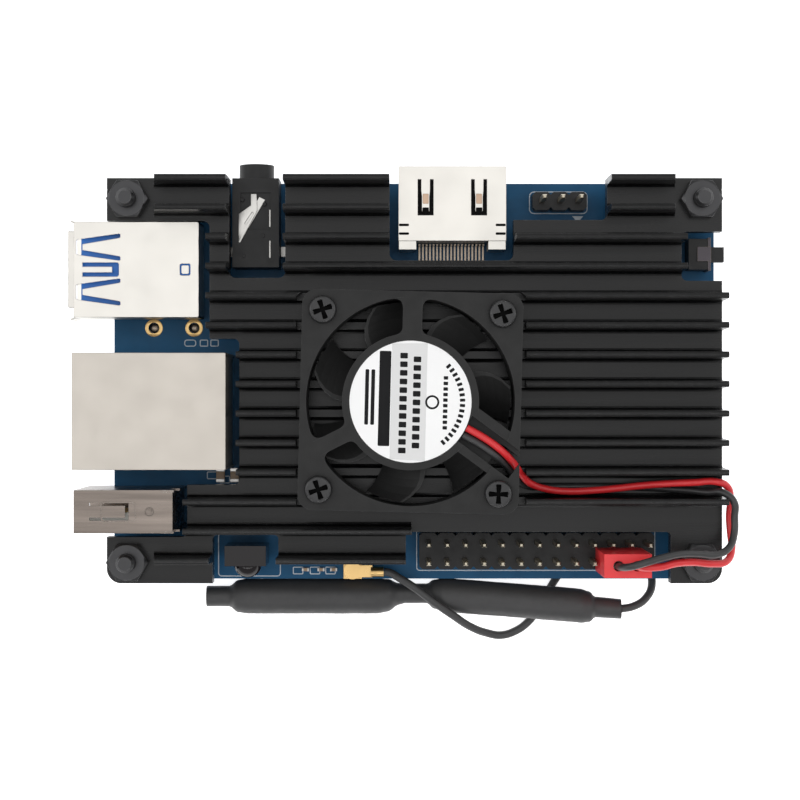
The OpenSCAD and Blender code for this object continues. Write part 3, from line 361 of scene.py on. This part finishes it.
BOARD_FRAME = Matrix.Translation(place(0, 0)) @ Matrix.Scale(MM, 4)
label_low, label_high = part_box("fan_label")
FAN_CENTRE = (label_low + label_high) / 2
FAN_TOP = label_high.z / MM
FAN_TURN = math.radians(-1.4)
FAN_FRAME = (Matrix.Translation((FAN_CENTRE.x, FAN_CENTRE.y, 0)) @ Matrix.Rotation(FAN_TURN, 4, "Z")
             @ Matrix.Scale(MM, 4))
SHARP_ANGLE = math.radians(30)
SHEET = 0.3                  # folded metal of the connector shells
SUNK = 0.01                  # how far print reaches into the surface below it


def node_box(name):
    """A CAD node's corners in board millimetres, as (x0, y0, z0, x1, y1, z1)."""
    low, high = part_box(name)
    return ((low.x - ORIGIN.x) / MM, (low.y - ORIGIN.y) / MM, low.z / MM,
            (high.x - ORIGIN.x) / MM, (high.y - ORIGIN.y) / MM, high.z / MM)


class Form:
    """Gathers shapes given in millimetres into one mesh."""

    def __init__(self, matrix=BOARD_FRAME):
        self.mesh = bmesh.new()
        self.matrix = matrix

    def take(self, part, at=None, soft=0.0):
        """Adds a small mesh, with its corners rounded by soft."""
        if soft > 0:
            sharp = [e for e in part.edges if e.is_manifold and e.calc_face_angle(0) > SHARP_ANGLE]
            bmesh.ops.bevel(part, geom=sharp, offset=soft, segments=2, affect="EDGES", clamp_overlap=True)
        if at is not None:
            part.transform(at)
        held = bpy.data.meshes.new("part")
        part.to_mesh(held)
        part.free()
        self.mesh.from_mesh(held)
        bpy.data.meshes.remove(held)

    def prism(self, outline, low, high, axis="z", soft=0.0, at=None):
        """An outline pushed along an axis: (x, y) along z, (y, z) along x or (x, z) along y."""
        part = bmesh.new()
        spots = {"z": lambda a, b, c: (a, b, c), "x": lambda a, b, c: (c, a, b),
                 "y": lambda a, b, c: (a, c, b)}
        ends = [[part.verts.new(spots[axis](a, b, c)) for a, b in outline] for c in (low, high)]
        part.faces.new(ends[0])
        part.faces.new(ends[1])
        for k in range(len(outline)):
            j = (k + 1) % len(outline)
            part.faces.new((ends[0][k], ends[0][j], ends[1][j], ends[1][k]))
        bmesh.ops.recalc_face_normals(part, faces=part.faces)
        self.take(part, at, soft)

    def block(self, x0, y0, z0, x1, y1, z1, soft=0.04, at=None):
        self.prism([(x0, y0), (x1, y0), (x1, y1), (x0, y1)], z0, z1, soft=soft, at=at)

    def lathe(self, profile, x=0.0, y=0.0, sides=48):
        """A profile of (radius, z) turned about an upright line; its ends meet the axis."""
        part = bmesh.new()
        rings = []
        for radius, z in profile:
            spots = circle(x, y, radius, sides) if radius > 0 else [(x, y)]
            rings.append([part.verts.new((px, py, z)) for px, py in spots])
        for one, two in zip(rings, rings[1:]):
            for k in range(sides):
                j = k + 1
                corners = [one[k % len(one)], one[j % len(one)], two[j % len(two)], two[k % len(two)]]
                part.faces.new(list(dict.fromkeys(corners)))
        bmesh.ops.recalc_face_normals(part, faces=part.faces)
        self.take(part)

    def sheet(self, loops, z0, z1, soft=0.03, at=None):
        """A flat sheet: the first loop is its outline and the others are openings in it."""
        data = bpy.data.curves.new("sheet", "CURVE")
        data.dimensions = "2D"
        data.fill_mode = "BOTH"
        data.extrude = (z1 - z0) / 2 - soft
        data.bevel_depth = soft
        data.bevel_resolution = 1
        data.offset = -soft
        for loop in loops:
            line = data.splines.new("POLY")
            line.points.add(len(loop) - 1)
            line.use_cyclic_u = True
            for point, spot in zip(line.points, loop):
                point.co = (spot[0], spot[1], 0, 1)
        holder = bpy.data.objects.new("sheet", data)
        bpy.context.scene.collection.objects.link(holder)
        flat = holder.to_mesh()
        part = bmesh.new()
        part.from_mesh(flat)
        holder.to_mesh_clear()
        bpy.data.objects.remove(holder)
        bpy.data.curves.remove(data)
        bmesh.ops.remove_doubles(part, verts=part.verts, dist=1e-4)
        part.transform(Matrix.Translation((0, 0, (z0 + z1) / 2)))
        self.take(part, at)

    def piece(self, name, finish, slot, body="board", stands_for=(), smooth=35):
        """Makes the object, with flat faces kept flat and curved ones smooth."""
        self.mesh.transform(self.matrix)
        for face in self.mesh.faces:
            face.smooth = True
        for edge in self.mesh.edges:
            edge.smooth = edge.is_manifold and edge.calc_face_angle(0) < math.radians(smooth)
        data = bpy.data.meshes.new(name)
        self.mesh.to_mesh(data)
        self.mesh.free()
        data.materials.append(finish)
        obj = bpy.data.objects.new(name, data)
        bpy.context.scene.collection.objects.link(obj)
        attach(obj, body)
        if stands_for:
            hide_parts(*stands_for)
        return obj


def rounded(x0, y0, x1, y1, radius, steps=5):
    """The outline of a rectangle with round corners, each in the given number of steps."""
    corners = [(x1 - radius, y1 - radius, 0), (x0 + radius, y1 - radius, 90),
               (x0 + radius, y0 + radius, 180), (x1 - radius, y0 + radius, 270)]
    outline = []
    for x, y, start in corners:
        for k in range(steps + 1):
            turn = math.radians(start + 90 * k / steps)
            outline.append((x + radius * math.cos(turn), y + radius * math.sin(turn)))
    return outline


def moved(outline, x, y):
    return [(x + px, y + py) for px, py in outline]


def circle(x, y, radius, sides=32):
    turns = [2 * math.pi * k / sides for k in range(sides)]
    return [(x + radius * math.cos(turn), y + radius * math.sin(turn)) for turn in turns]


# ---- Fan details ----

LABEL_R = 8.15
LABEL_T = 0.1


def make_label(finishes):
    """The fan's round label, printed with plain bars and no lettering."""
    z = FAN_TOP
    film = Form(FAN_FRAME)
    film.lathe([(0, z - LABEL_T), (LABEL_R, z - LABEL_T), (LABEL_R, z - 0.01), (LABEL_R - 0.03, z), (0, z)],
               sides=96)
    film.piece("label_film_disc", finishes["label_film"], "label_film", stands_for=["fan_label"])
    bands = Form(FAN_FRAME)
    bands.prism([(-2.6, -7.7), (2.1, -7.85), (2.1, 7.85), (-2.6, 7.7)], z - SUNK, z + 0.004)
    bands.piece("label_grey_band", finishes["label_band"], "label_film")
    dark = Form(FAN_FRAME)

    def ink(loops, at=None, height=0.01):
        dark.sheet(loops, z - SUNK, z + height, soft=0.002, at=at)

    for x in (-6.1, -5.3):
        ink([rounded(x, -3.2, x + 0.5, 4.2, 0.15)])
    ink([rounded(-4.25, -6.0, -2.7, 6.7, 0.15)])
    for x, start, count in ((-1.5, -6.9, 12), (0.3, -6.2, 11)):
        for k in range(count):
            y = start + k * 1.15
            ink([rounded(x, y, x + 1.0, y + 0.75, 0.12)], height=0.012)
    ink([circle(2.9, 0, 0.95), circle(2.9, 0, 0.68)])
    for k in range(10):
        y = -3.6 + k * 0.74
        ink([rounded(4.35, y, 4.95, y + 0.46, 0.08)])
    for k in range(17):
        turn = Matrix.Rotation(math.radians(-50 + k * 5.9), 4, "Z")
        ink([rounded(6.6, -0.2, 7.3, 0.2, 0.08)], at=turn)
    dark.piece("label_dark_bars", finishes["ink_dark"], "label_film")


def make_fan_fillets(finishes):
    """Hollow corners where the fan's arms meet its ring and its hub plate."""
    web = Form(FAN_FRAME)
    ring_r, plate_r = 13.95, 9.15
    top = FAN_TOP + 0.04
    web_t = 1.7
    steps = 8
    for arm, half in ((90, 1.3), (208, 1.05)):
        for side in (-1, 1):
            turn = Matrix.Rotation(math.radians(arm), 4, "Z")
            for radius, way, size in ((ring_r, -1, 1.5), (plate_r, 1, 1.0)):
                lean = math.asin(half / radius)
                swing = lean + size / radius
                corner = (radius * math.cos(lean), side * half)
                along_arm = (corner[0] + way * size, side * half)
                along_ring = (radius * math.cos(swing), side * radius * math.sin(swing))
                arc = []
                for k in range(steps + 1):
                    t = k / steps
                    arc.append([(1 - t) ** 2 * a + 2 * t * (1 - t) * c + t * t * b
                                for a, c, b in zip(along_arm, corner, along_ring)])
                back = (corner[0] - way * 0.3, side * (half - 0.2))
                web.prism(arc + [back], top - web_t, top, at=turn)
    web.piece("fan_arm_fillets", finishes["fan_plastic"], "fan_plastic")


SCREW_REACH = 12             # from the fan's middle to a screw, along x and along y
SCREW_HEAD_H = 1.1
SCREW_L = 8.7                # below the head
SCREW_TURNS = {(-1, -1): 20, (-1, 1): 20, (1, 1): 20, (1, -1): 0}


def cross_outline():
    """The opening of a cross recess: one arm, repeated at four quarter turns."""
    arm = [(0.26, 0.26), (1.22, 0.36), (1.34, 0.2), (1.34, -0.2), (1.22, -0.36)]
    cross = []
    for cos, sin in ((1, 0), (0, -1), (-1, 0), (0, 1)):
        cross += [(cos * x - sin * y, sin * x + cos * y) for x, y in arm]
    return cross


def make_fan_screws(finishes):
    """Pan head screws with a cross recess; a near-black disc of painted shade lies at the bottom of each
    recess.
    """
    z0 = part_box("fan_screws")[1].z / MM - SCREW_HEAD_H
    heads, pit_shade = Form(FAN_FRAME), Form(FAN_FRAME)
    for (sx, sy), turn in SCREW_TURNS.items():
        x, y = SCREW_REACH * sx, SCREW_REACH * sy
        spot = Matrix.Translation((x, y, 0)) @ Matrix.Rotation(math.radians(turn), 4, "Z")
        heads.sheet([circle(0, 0, 1.6, 64), cross_outline()], z0 + 0.22, z0 + 1.02, soft=0.05, at=spot)
        heads.lathe([(1.58, z0 + 1.0), (1.7, z0 + 0.95), (1.82, z0 + 0.72), (1.88, z0 + 0.4), (1.88, z0),
                     (1.3, z0), (1.3, z0 + 0.52), (1.58, z0 + 0.52), (1.58, z0 + 1.0)], x, y, 64)
        # Painted shade: a near-black disc at the bottom of the cross recess.
        pit_shade.lathe([(0, z0 + 0.12), (1.5, z0 + 0.2), (1.5, z0 + 0.04), (0, z0 + 0.04)], x, y)
        shank = [(0, z0 - SCREW_L), (1.2, z0 - SCREW_L), (1.2, z0 + 0.05), (0, z0 + 0.05)]
        heads.lathe(shank, x, y, 32)
    heads.piece("fan_screw_heads", finishes["screw_black"], "black_steel", stands_for=["fan_screws"])
    pit_shade.piece("fan_screw_recess_shade", finishes["painted_recess_shade"], "black_steel")


# ---- Connector shells ----

USB3_LIP = 0.7               # how far the flared lips reach along x
USB3_FLARE = 0.3             # and how far they spread


def make_usb3(finishes):
    """The flat socket's folded shell with its spring slots, flared lips and pressed square."""
    lip_x, y0, z0, x1, y1, z1 = node_box("usb3_shell")
    x0 = lip_x + USB3_LIP
    y0, y1, z1 = y0 + USB3_FLARE, y1 - USB3_FLARE, z1 - USB3_FLARE
    mid = (y0 + y1) / 2
    half_v = [(0.37, 0.9), (0.6, 1.05), (6.3, 1.84), (6.48, 1.74), (6.48, 1.42), (6.3, 1.28), (1.25, 0.42)]
    v_slot = half_v + [(x, -y) for x, y in reversed(half_v)]
    u_slot = [(1.25, 0.96), (6.05, 0.96), (6.27, 0.74), (6.27, -0.74), (6.05, -0.96), (1.25, -0.96),
              (1.25, -0.41), (5.35, -0.41), (5.35, 0.41), (1.25, 0.41)]
    openings = [moved(v_slot, x0, mid + 3.1), moved(v_slot, x0, mid - 3.1), moved(u_slot, x0, mid),
                rounded(x0 + 14.7, mid - 0.8, x0 + 16.15, mid + 0.8, 0.25)]
    outline = rounded(x0, y0, x1, y1, 0.25)
    shell = Form()
    shell.sheet([outline] + openings, z1 - SHEET, z1, soft=0.06)
    pressed_square = rounded(x0 + 14.9, mid - 0.6, x0 + 15.95, mid + 0.6, 0.2)
    shell.sheet([pressed_square], z1 - 0.34, z1 - 0.08, soft=0.05)
    shell.sheet([outline], z0, z0 + SHEET, soft=0.05)
    for low, high in ((y0, y0 + SHEET), (y1 - SHEET, y1)):
        shell.block(x0, low, z0, x1, high, z1 - 0.05, 0.05)
    shell.block(x1 - SHEET, y0, z0, x1, y1, z1 - 0.05, 0.05)
    lip = [(x0 + 0.1, z1 - SHEET), (x0 + 0.1, z1), (lip_x, z1 + USB3_FLARE), (lip_x, z1 + 0.05)]
    shell.prism(lip, y0 + 1.3, y1 - 1.3, "y", 0.05)
    shell.prism([(x, z0 + z1 - z) for x, z in lip], y0 + 1.3, y1 - 1.3, "y", 0.05)
    for y, out in ((y0 + 0.05, -USB3_FLARE), (y1 - 0.05, USB3_FLARE)):
        side = [(x0 + 0.1, y - 0.12), (x0 + 0.1, y + 0.12), (lip_x, y + out + 0.12), (lip_x, y + out - 0.12)]
        shell.prism(side, z0 + 1.5, z0 + 5.5, "z", 0.04)
    shell.piece("usb3_folded_shell", finishes["plated_shell"], "plated_shell", stands_for=["usb3_shell"],
                smooth=15)


def make_board_print(finishes):
    """Plain printed outlines and two plated holes with solder; there is no lettering."""
    z = BOARD_Z1
    line_w = 0.14
    hole_y = 7.55
    ink, rims, tails = Form(), Form(), Form()

    def frame_line(x0, y0, x1, y1, radius=0.2):
        inner = rounded(x0 + line_w, y0 + line_w, x1 - line_w, y1 - line_w, radius - line_w)
        ink.sheet([rounded(x0, y0, x1, y1, radius), inner], z - SUNK, z + 0.02, soft=0.004)

    frame_line(16.3, 23.7, 24.6, 26.9, radius=0.7)
    ink.sheet([[(22.4, 23.4), (24.0, 23.4), (23.2, 22.5)]], z - SUNK, z + 0.02, soft=0.004)
    frame_line(-32.6, 4.9, -30.9, 5.9, radius=0.4)
    for x in (-30.4, -28.9):
        frame_line(x, 4.9, x + 1.2, 5.9)
    for x, y in ((-27.6, -14.5), (-29.4, -13.9), (-17.2, -27.4), (-14.8, -27.4), (-12.6, -27.4)):
        frame_line(x, y, x + 1.5, y + 1.1)
    frame_line(-27.8, -27.7, -18.9, -21.5, radius=0.5)
    frame_line(0.3, -26.9, 34.2, -20.95, radius=0.5)
    for x in (-36.9, -31.2):
        rims.sheet([circle(x, hole_y, 1.25), circle(x, hole_y, 0.76)], z - SUNK, z + 0.03, soft=0.008)
        fill = [(0, z - 1.2), (0.74, z - 1.2), (0.7, z - 0.7), (0.3, z - 0.5), (0, z - 0.48)]
        tails.lathe(fill, x, hole_y, 24)
    ink.piece("board_outlines", finishes["board_ink"], "board_laminate")
    tails.piece("board_solder_fills", finishes["contact_tin"], "tin_contact")
    rims.piece("board_plated_rims", finishes["gold_contact"], "gold_contact")


def make_small_parts(finishes):
    """Chip resistors and capacitors: a body between two tinned ends, at the CAD's places.

    Each group's parts are (x, y, size along x, size along y, height).
    """
    z = BOARD_Z1
    groups = [[(-11.8, y, 1, 0.5, 0.5) for y in range(-6, 11, 2)],
              [(x, 11.4, 0.5, 1, 0.5) for x in range(-8, 5, 2)],
              [(22 + 1.6 * k, -1.6, 0.8, 1.6, 0.8) for k in range(6)],
              [(x, -12, 1, 0.5, 0.5) for x in range(22, 35, 2)],
              [(x, -13.3, 1.2, 2, 0.9) for x in (-27.4, -25.4)],
              [(-27.2 + 1.5 * k, 7.6, 0.8, 0.4, 0.35) for k in range(5)],
              [(x, -26.7, 1, 0.5, 0.4) for x in (-15.4, -13.2, -11.4)],
              [(-27.2, y, 0.5, 1, 0.4) for y in (23.4, 25.2, 27)],
              [(-14.3, 26, 1, 1.8, 0.6), (29.8, 18, 1.6, 0.8, 0.6)]]
    bodies, ends = Form(), Form()
    for x, y, size_x, size_y, height in sum(groups, []):
        half_x, half_y = size_x / 2, size_y / 2
        cap = 0.24 * max(size_x, size_y)
        if size_x >= size_y:
            inner_x, inner_y = half_x - cap, half_y - 0.02
            caps = [(x + low, y - half_y, x + low + cap, y + half_y) for low in (-half_x, half_x - cap)]
        else:
            inner_x, inner_y = half_x - 0.02, half_y - cap
            caps = [(x - half_x, y + low, x + half_x, y + low + cap) for low in (-half_y, half_y - cap)]
        bodies.block(x - inner_x, y - inner_y, z, x + inner_x, y + inner_y, z + height - 0.03, 0.01)
        for x0, y0, x1, y1 in caps:
            ends.block(x0, y0, z, x1, y1, z + height, 0.05)
    bodies.piece("chip_part_bodies", finishes["ceramic_parts"], "ceramic_parts", stands_for=["small_parts"])
    ends.piece("chip_part_ends", finishes["tin_contact"], "tin_contact")


def make_usb2(finishes):
    """Spring tongue, dimple and folded rear edge on the upright socket."""
    x0, y0, _, x1, y1, z1 = node_box("usb2_shell")
    fold_x = x1 - 0.5
    fold_y0, fold_y1 = y0 + 0.05, y1 - 0.05
    mid = (y0 + y1) / 2
    detail = Form()
    rim = rounded(x0 + 3.6, mid - 1.35, x0 + 8.4, mid + 1.35, 0.5)
    inner = rounded(x0 + 3.8, mid - 1.15, x0 + 8.2, mid + 1.15, 0.4)
    detail.sheet([rim, inner], z1 - 0.02, z1 + 0.06, soft=0.02)
    detail.lathe([(0, z1 - 0.02), (0.62, z1 - 0.02), (0.5, z1 + 0.1), (0.25, z1 + 0.04), (0, z1 + 0.02)],
                 x0 + 10.2, mid, 32)
    for low, high in ((fold_y0 - 0.02, fold_y0 + SHEET), (fold_y1 - SHEET, fold_y1 + 0.02)):
        detail.block(fold_x - 1.6, low, z1 - 0.05, fold_x + 0.2, high, z1 + 0.12, 0.06)
    detail.piece("usb2_folds", finishes["brushed_shell"], "brushed_shell")


def make_network_shell(finishes):
    """The network socket's can: rounded top edges and two rear tabs with a notch between them."""
    x0, y0, z0, x1, y1, z1 = node_box("network_shell")
    mid = (y0 + y1) / 2
    can = Form()
    can.sheet([rounded(x0, y0, x1, y1, 0.2)], z1 - SHEET, z1, soft=0.06)
    for low, high in ((y0, y0 + SHEET), (y1 - SHEET, y1)):
        can.block(x0, low, z0, x1, high, z1 - 0.04, 0.04)
    can.block(x1 - 0.55, y0 + 0.1, z0, x1 - 0.25, y1 - 0.1, z1 - 0.04, 0.04)
    for low, high in ((y0 + 0.4, mid - 0.6), (mid + 0.6, y1 - 0.4)):
        can.block(x1 - 0.28, low, z1 - 5, x1 - 0.02, high, z1 - 0.12, 0.05)
    for low, high in ((y0, y0 + 0.05), (y1 - 0.05, y1)):
        for near in (5.0, 13.0):
            can.block(x0 + near, low, z0 + 4, x0 + near + 2.5, high, z0 + 8, 0.01)
    can.piece("network_can", finishes["nickel_shell"], "nickel_shell", stands_for=["network_shell"],
              smooth=15)


def make_video_springs(finishes):
    """The video socket's spring tongues, near-black sheets of painted shade in the openings around them,
    their seats, and near-black sheets of painted shade for its side notches.
    """
    x0, y0, _, x1, y1, z1 = node_box("video_shell")
    mid = (x0 + x1) / 2
    sunk = 0.02
    springs, opening_shade, seats, notch_shade = Form(), Form(), Form(), Form()
    for s in (-1, 1):
        x = mid + s * 3.7
        profile = [(y1 - 6.4, z1 - 0.75), (y1 - 4.9, z1 - 0.45), (y1 - 3.7, z1 - 0.95), (y1 - 2.0, z1 - 0.3)]
        profile += [(y, z - 0.2) for y, z in reversed(profile)]
        springs.prism(profile, x - 0.5, x + 0.5, "x", 0.04)
        wedge = [(x - 1.05, y1 - 2.0), (x - 0.75, y1 - 2.0), (x - 0.5, y1 - 4.2), (x - 0.5, y1 - 6.3),
                 (x + 0.5, y1 - 6.3), (x + 0.5, y1 - 4.2), (x + 0.75, y1 - 2.0), (x + 1.05, y1 - 2.0),
                 (x + 0.85, y1 - 6.6), (x - 0.85, y1 - 6.6)]
        # Painted shade: near-black sheets over the openings around the spring.
        opening_shade.sheet([wedge], z1 - sunk, z1 + 0.012, soft=0.004)
        foot = rounded(x - 0.45, y1 - 6.3, x + 0.45, y1 - 5.7, 0.1)
        opening_shade.sheet([foot], z1 - sunk, z1 + 0.014, soft=0.004)
        seat = rounded(x - 0.42, y1 - 5.2, x + 0.42, y1 - 3.8, 0.12)
        seats.sheet([seat], z1 - sunk, z1 + 0.02, soft=0.006)
        x = mid + s * 6.7
        for y in (y0 + 2.0, y0 + 3.2):
            notch = rounded(x - 0.7, y, x + 0.7, y + 0.35, 0.15)
            # Painted shade: a near-black sheet where each side notch is.
            notch_shade.sheet([notch], z1 - sunk, z1 + 0.012, soft=0.004)
    springs.piece("video_spring_tongues", finishes["spring_bronze"], "plated_shell")
    opening_shade.piece("video_spring_opening_shade", finishes["painted_recess_shade"], "plated_shell")
    seats.piece("video_spring_seats", finishes["spring_bronze"], "plated_shell")
    notch_shade.piece("video_side_notch_shade", finishes["painted_recess_shade"], "plated_shell")


def make_sound_spring(finishes):
    """The contact on top of the sound socket, two slim side strips and four moulded bosses."""
    x0, y0, _, x1, _, z1 = node_box("sound_socket_body")
    spring = Form()
    outline = [(x0 + 2.6, y0 + 10.2), (x0 + 3.4, y0 + 10.2), (x0 + 3.5, y0 + 7.9), (x0 + 1.1, y0 + 3.4),
               (x0 + 0.9, y0 + 3.5), (x0 + 0.9, y0 + 7.4), (x0 + 2.6, y0 + 8.6)]
    slot = [(x0 + 2.75, y0 + 7.7), (x0 + 3.0, y0 + 7.5), (x0 + 1.95, y0 + 5.9), (x0 + 1.7, y0 + 6.1)]
    spring.sheet([outline, slot], z1 - 0.05, z1 + 0.16, soft=0.04)
    for low in (y0 + 1.3, y0 + 5.6):
        spring.block(x1 - 1.35, low, z1 - 0.1, x1 - 1.15, low + 2.4, z1 + 0.1, 0.03)
    spring.piece("sound_socket_spring", finishes["tin_contact"], "tin_contact")
    bosses = Form()
    for x, y in ((x0 + 1.6, y0 + 1.6), (x0 + 4.3, y0 + 4.4), (x0 + 4.5, y0 + 8.8), (x0 + 1.4, y0 + 9.4)):
        bosses.lathe([(0, z1 - 0.05), (0.3, z1 - 0.05), (0.24, z1 + 0.07), (0, z1 + 0.07)], x, y, 24)
    bosses.piece("sound_socket_bosses", finishes["black_plastic"], "black_plastic")


def make_details(finishes):
    make_label(finishes)
    make_fan_fillets(finishes)
    make_fan_screws(finishes)
    make_usb3(finishes)
    make_board_print(finishes)
    make_small_parts(finishes)
    make_usb2(finishes)
    make_network_shell(finishes)
    make_video_springs(finishes)
    make_sound_spring(finishes)


# ---- CAD nodes ----

NODE_FINISH = {"button_cover": "switch_plate", "pin_header_pins": "pin_tips",
               "serial_header_pins": "pin_tips",
               "video_contacts": "contact_tin", "power_coils": "ferrite"}


def dress_nodes(finishes):
    for part in frame["record"]["subparts"]:
        obj = frame["nodes"][part["node"]]
        for slot in obj.material_slots:
            slot.material = finishes[NODE_FINISH.get(part["node"], part["material_slot"])]


# ---- Floor, light and world ----

def make_stage():
    floor_mesh = bmesh.new()
    bmesh.ops.create_grid(floor_mesh, x_segments=1, y_segments=1, size=2.0)
    data = bpy.data.meshes.new("floor")
    floor_mesh.to_mesh(data)
    floor = bpy.data.objects.new("floor", data)
    bpy.context.scene.collection.objects.link(floor)
    paper = Shade("floor_paper")
    paper.set(Base_Color=rgba((0.9, 0.9, 0.9)), Roughness=0.9)
    paper.set(Emission_Color=rgba((1, 1, 1)), Emission_Strength=0.8)
    data.materials.append(paper.material)


def area_light(name, location, size, power):
    """A rectangular lamp aimed at the origin; its place and size are in metres."""
    data = bpy.data.lights.new(name, "AREA")
    data.shape = "RECTANGLE"
    data.size, data.size_y = size
    data.energy = power
    lamp = bpy.data.objects.new(name, data)
    lamp.location = location
    lamp.rotation_euler = (-Vector(location)).to_track_quat("-Z", "Y").to_euler()
    bpy.context.scene.collection.objects.link(lamp)


def make_light():
    world = bpy.data.worlds.new("studio")
    world.use_nodes = True
    background = world.node_tree.nodes["Background"].inputs
    background["Color"].default_value = rgba((1, 1, 1))
    background["Strength"].default_value = 0.6
    bpy.context.scene.world = world
    area_light("over", (0, 0.05, 0.7), (0.6, 0.6), 1.1)
    area_light("left", (-0.6, 0.1, 0.45), (0.3, 0.7), 1.1)
    area_light("right", (0.6, 0.1, 0.45), (0.3, 0.7), 0.9)
    area_light("front_strip", (0, -0.42, 0.55), (1.0, 0.04), 0.9)


def main():
    make_camera()
    finishes = make_materials()
    make_cords(finishes)
    dress_nodes(finishes)
    make_details(finishes)
    make_stage()
    make_light()
    bpy.context.scene.view_settings.view_transform = "Standard"


main()
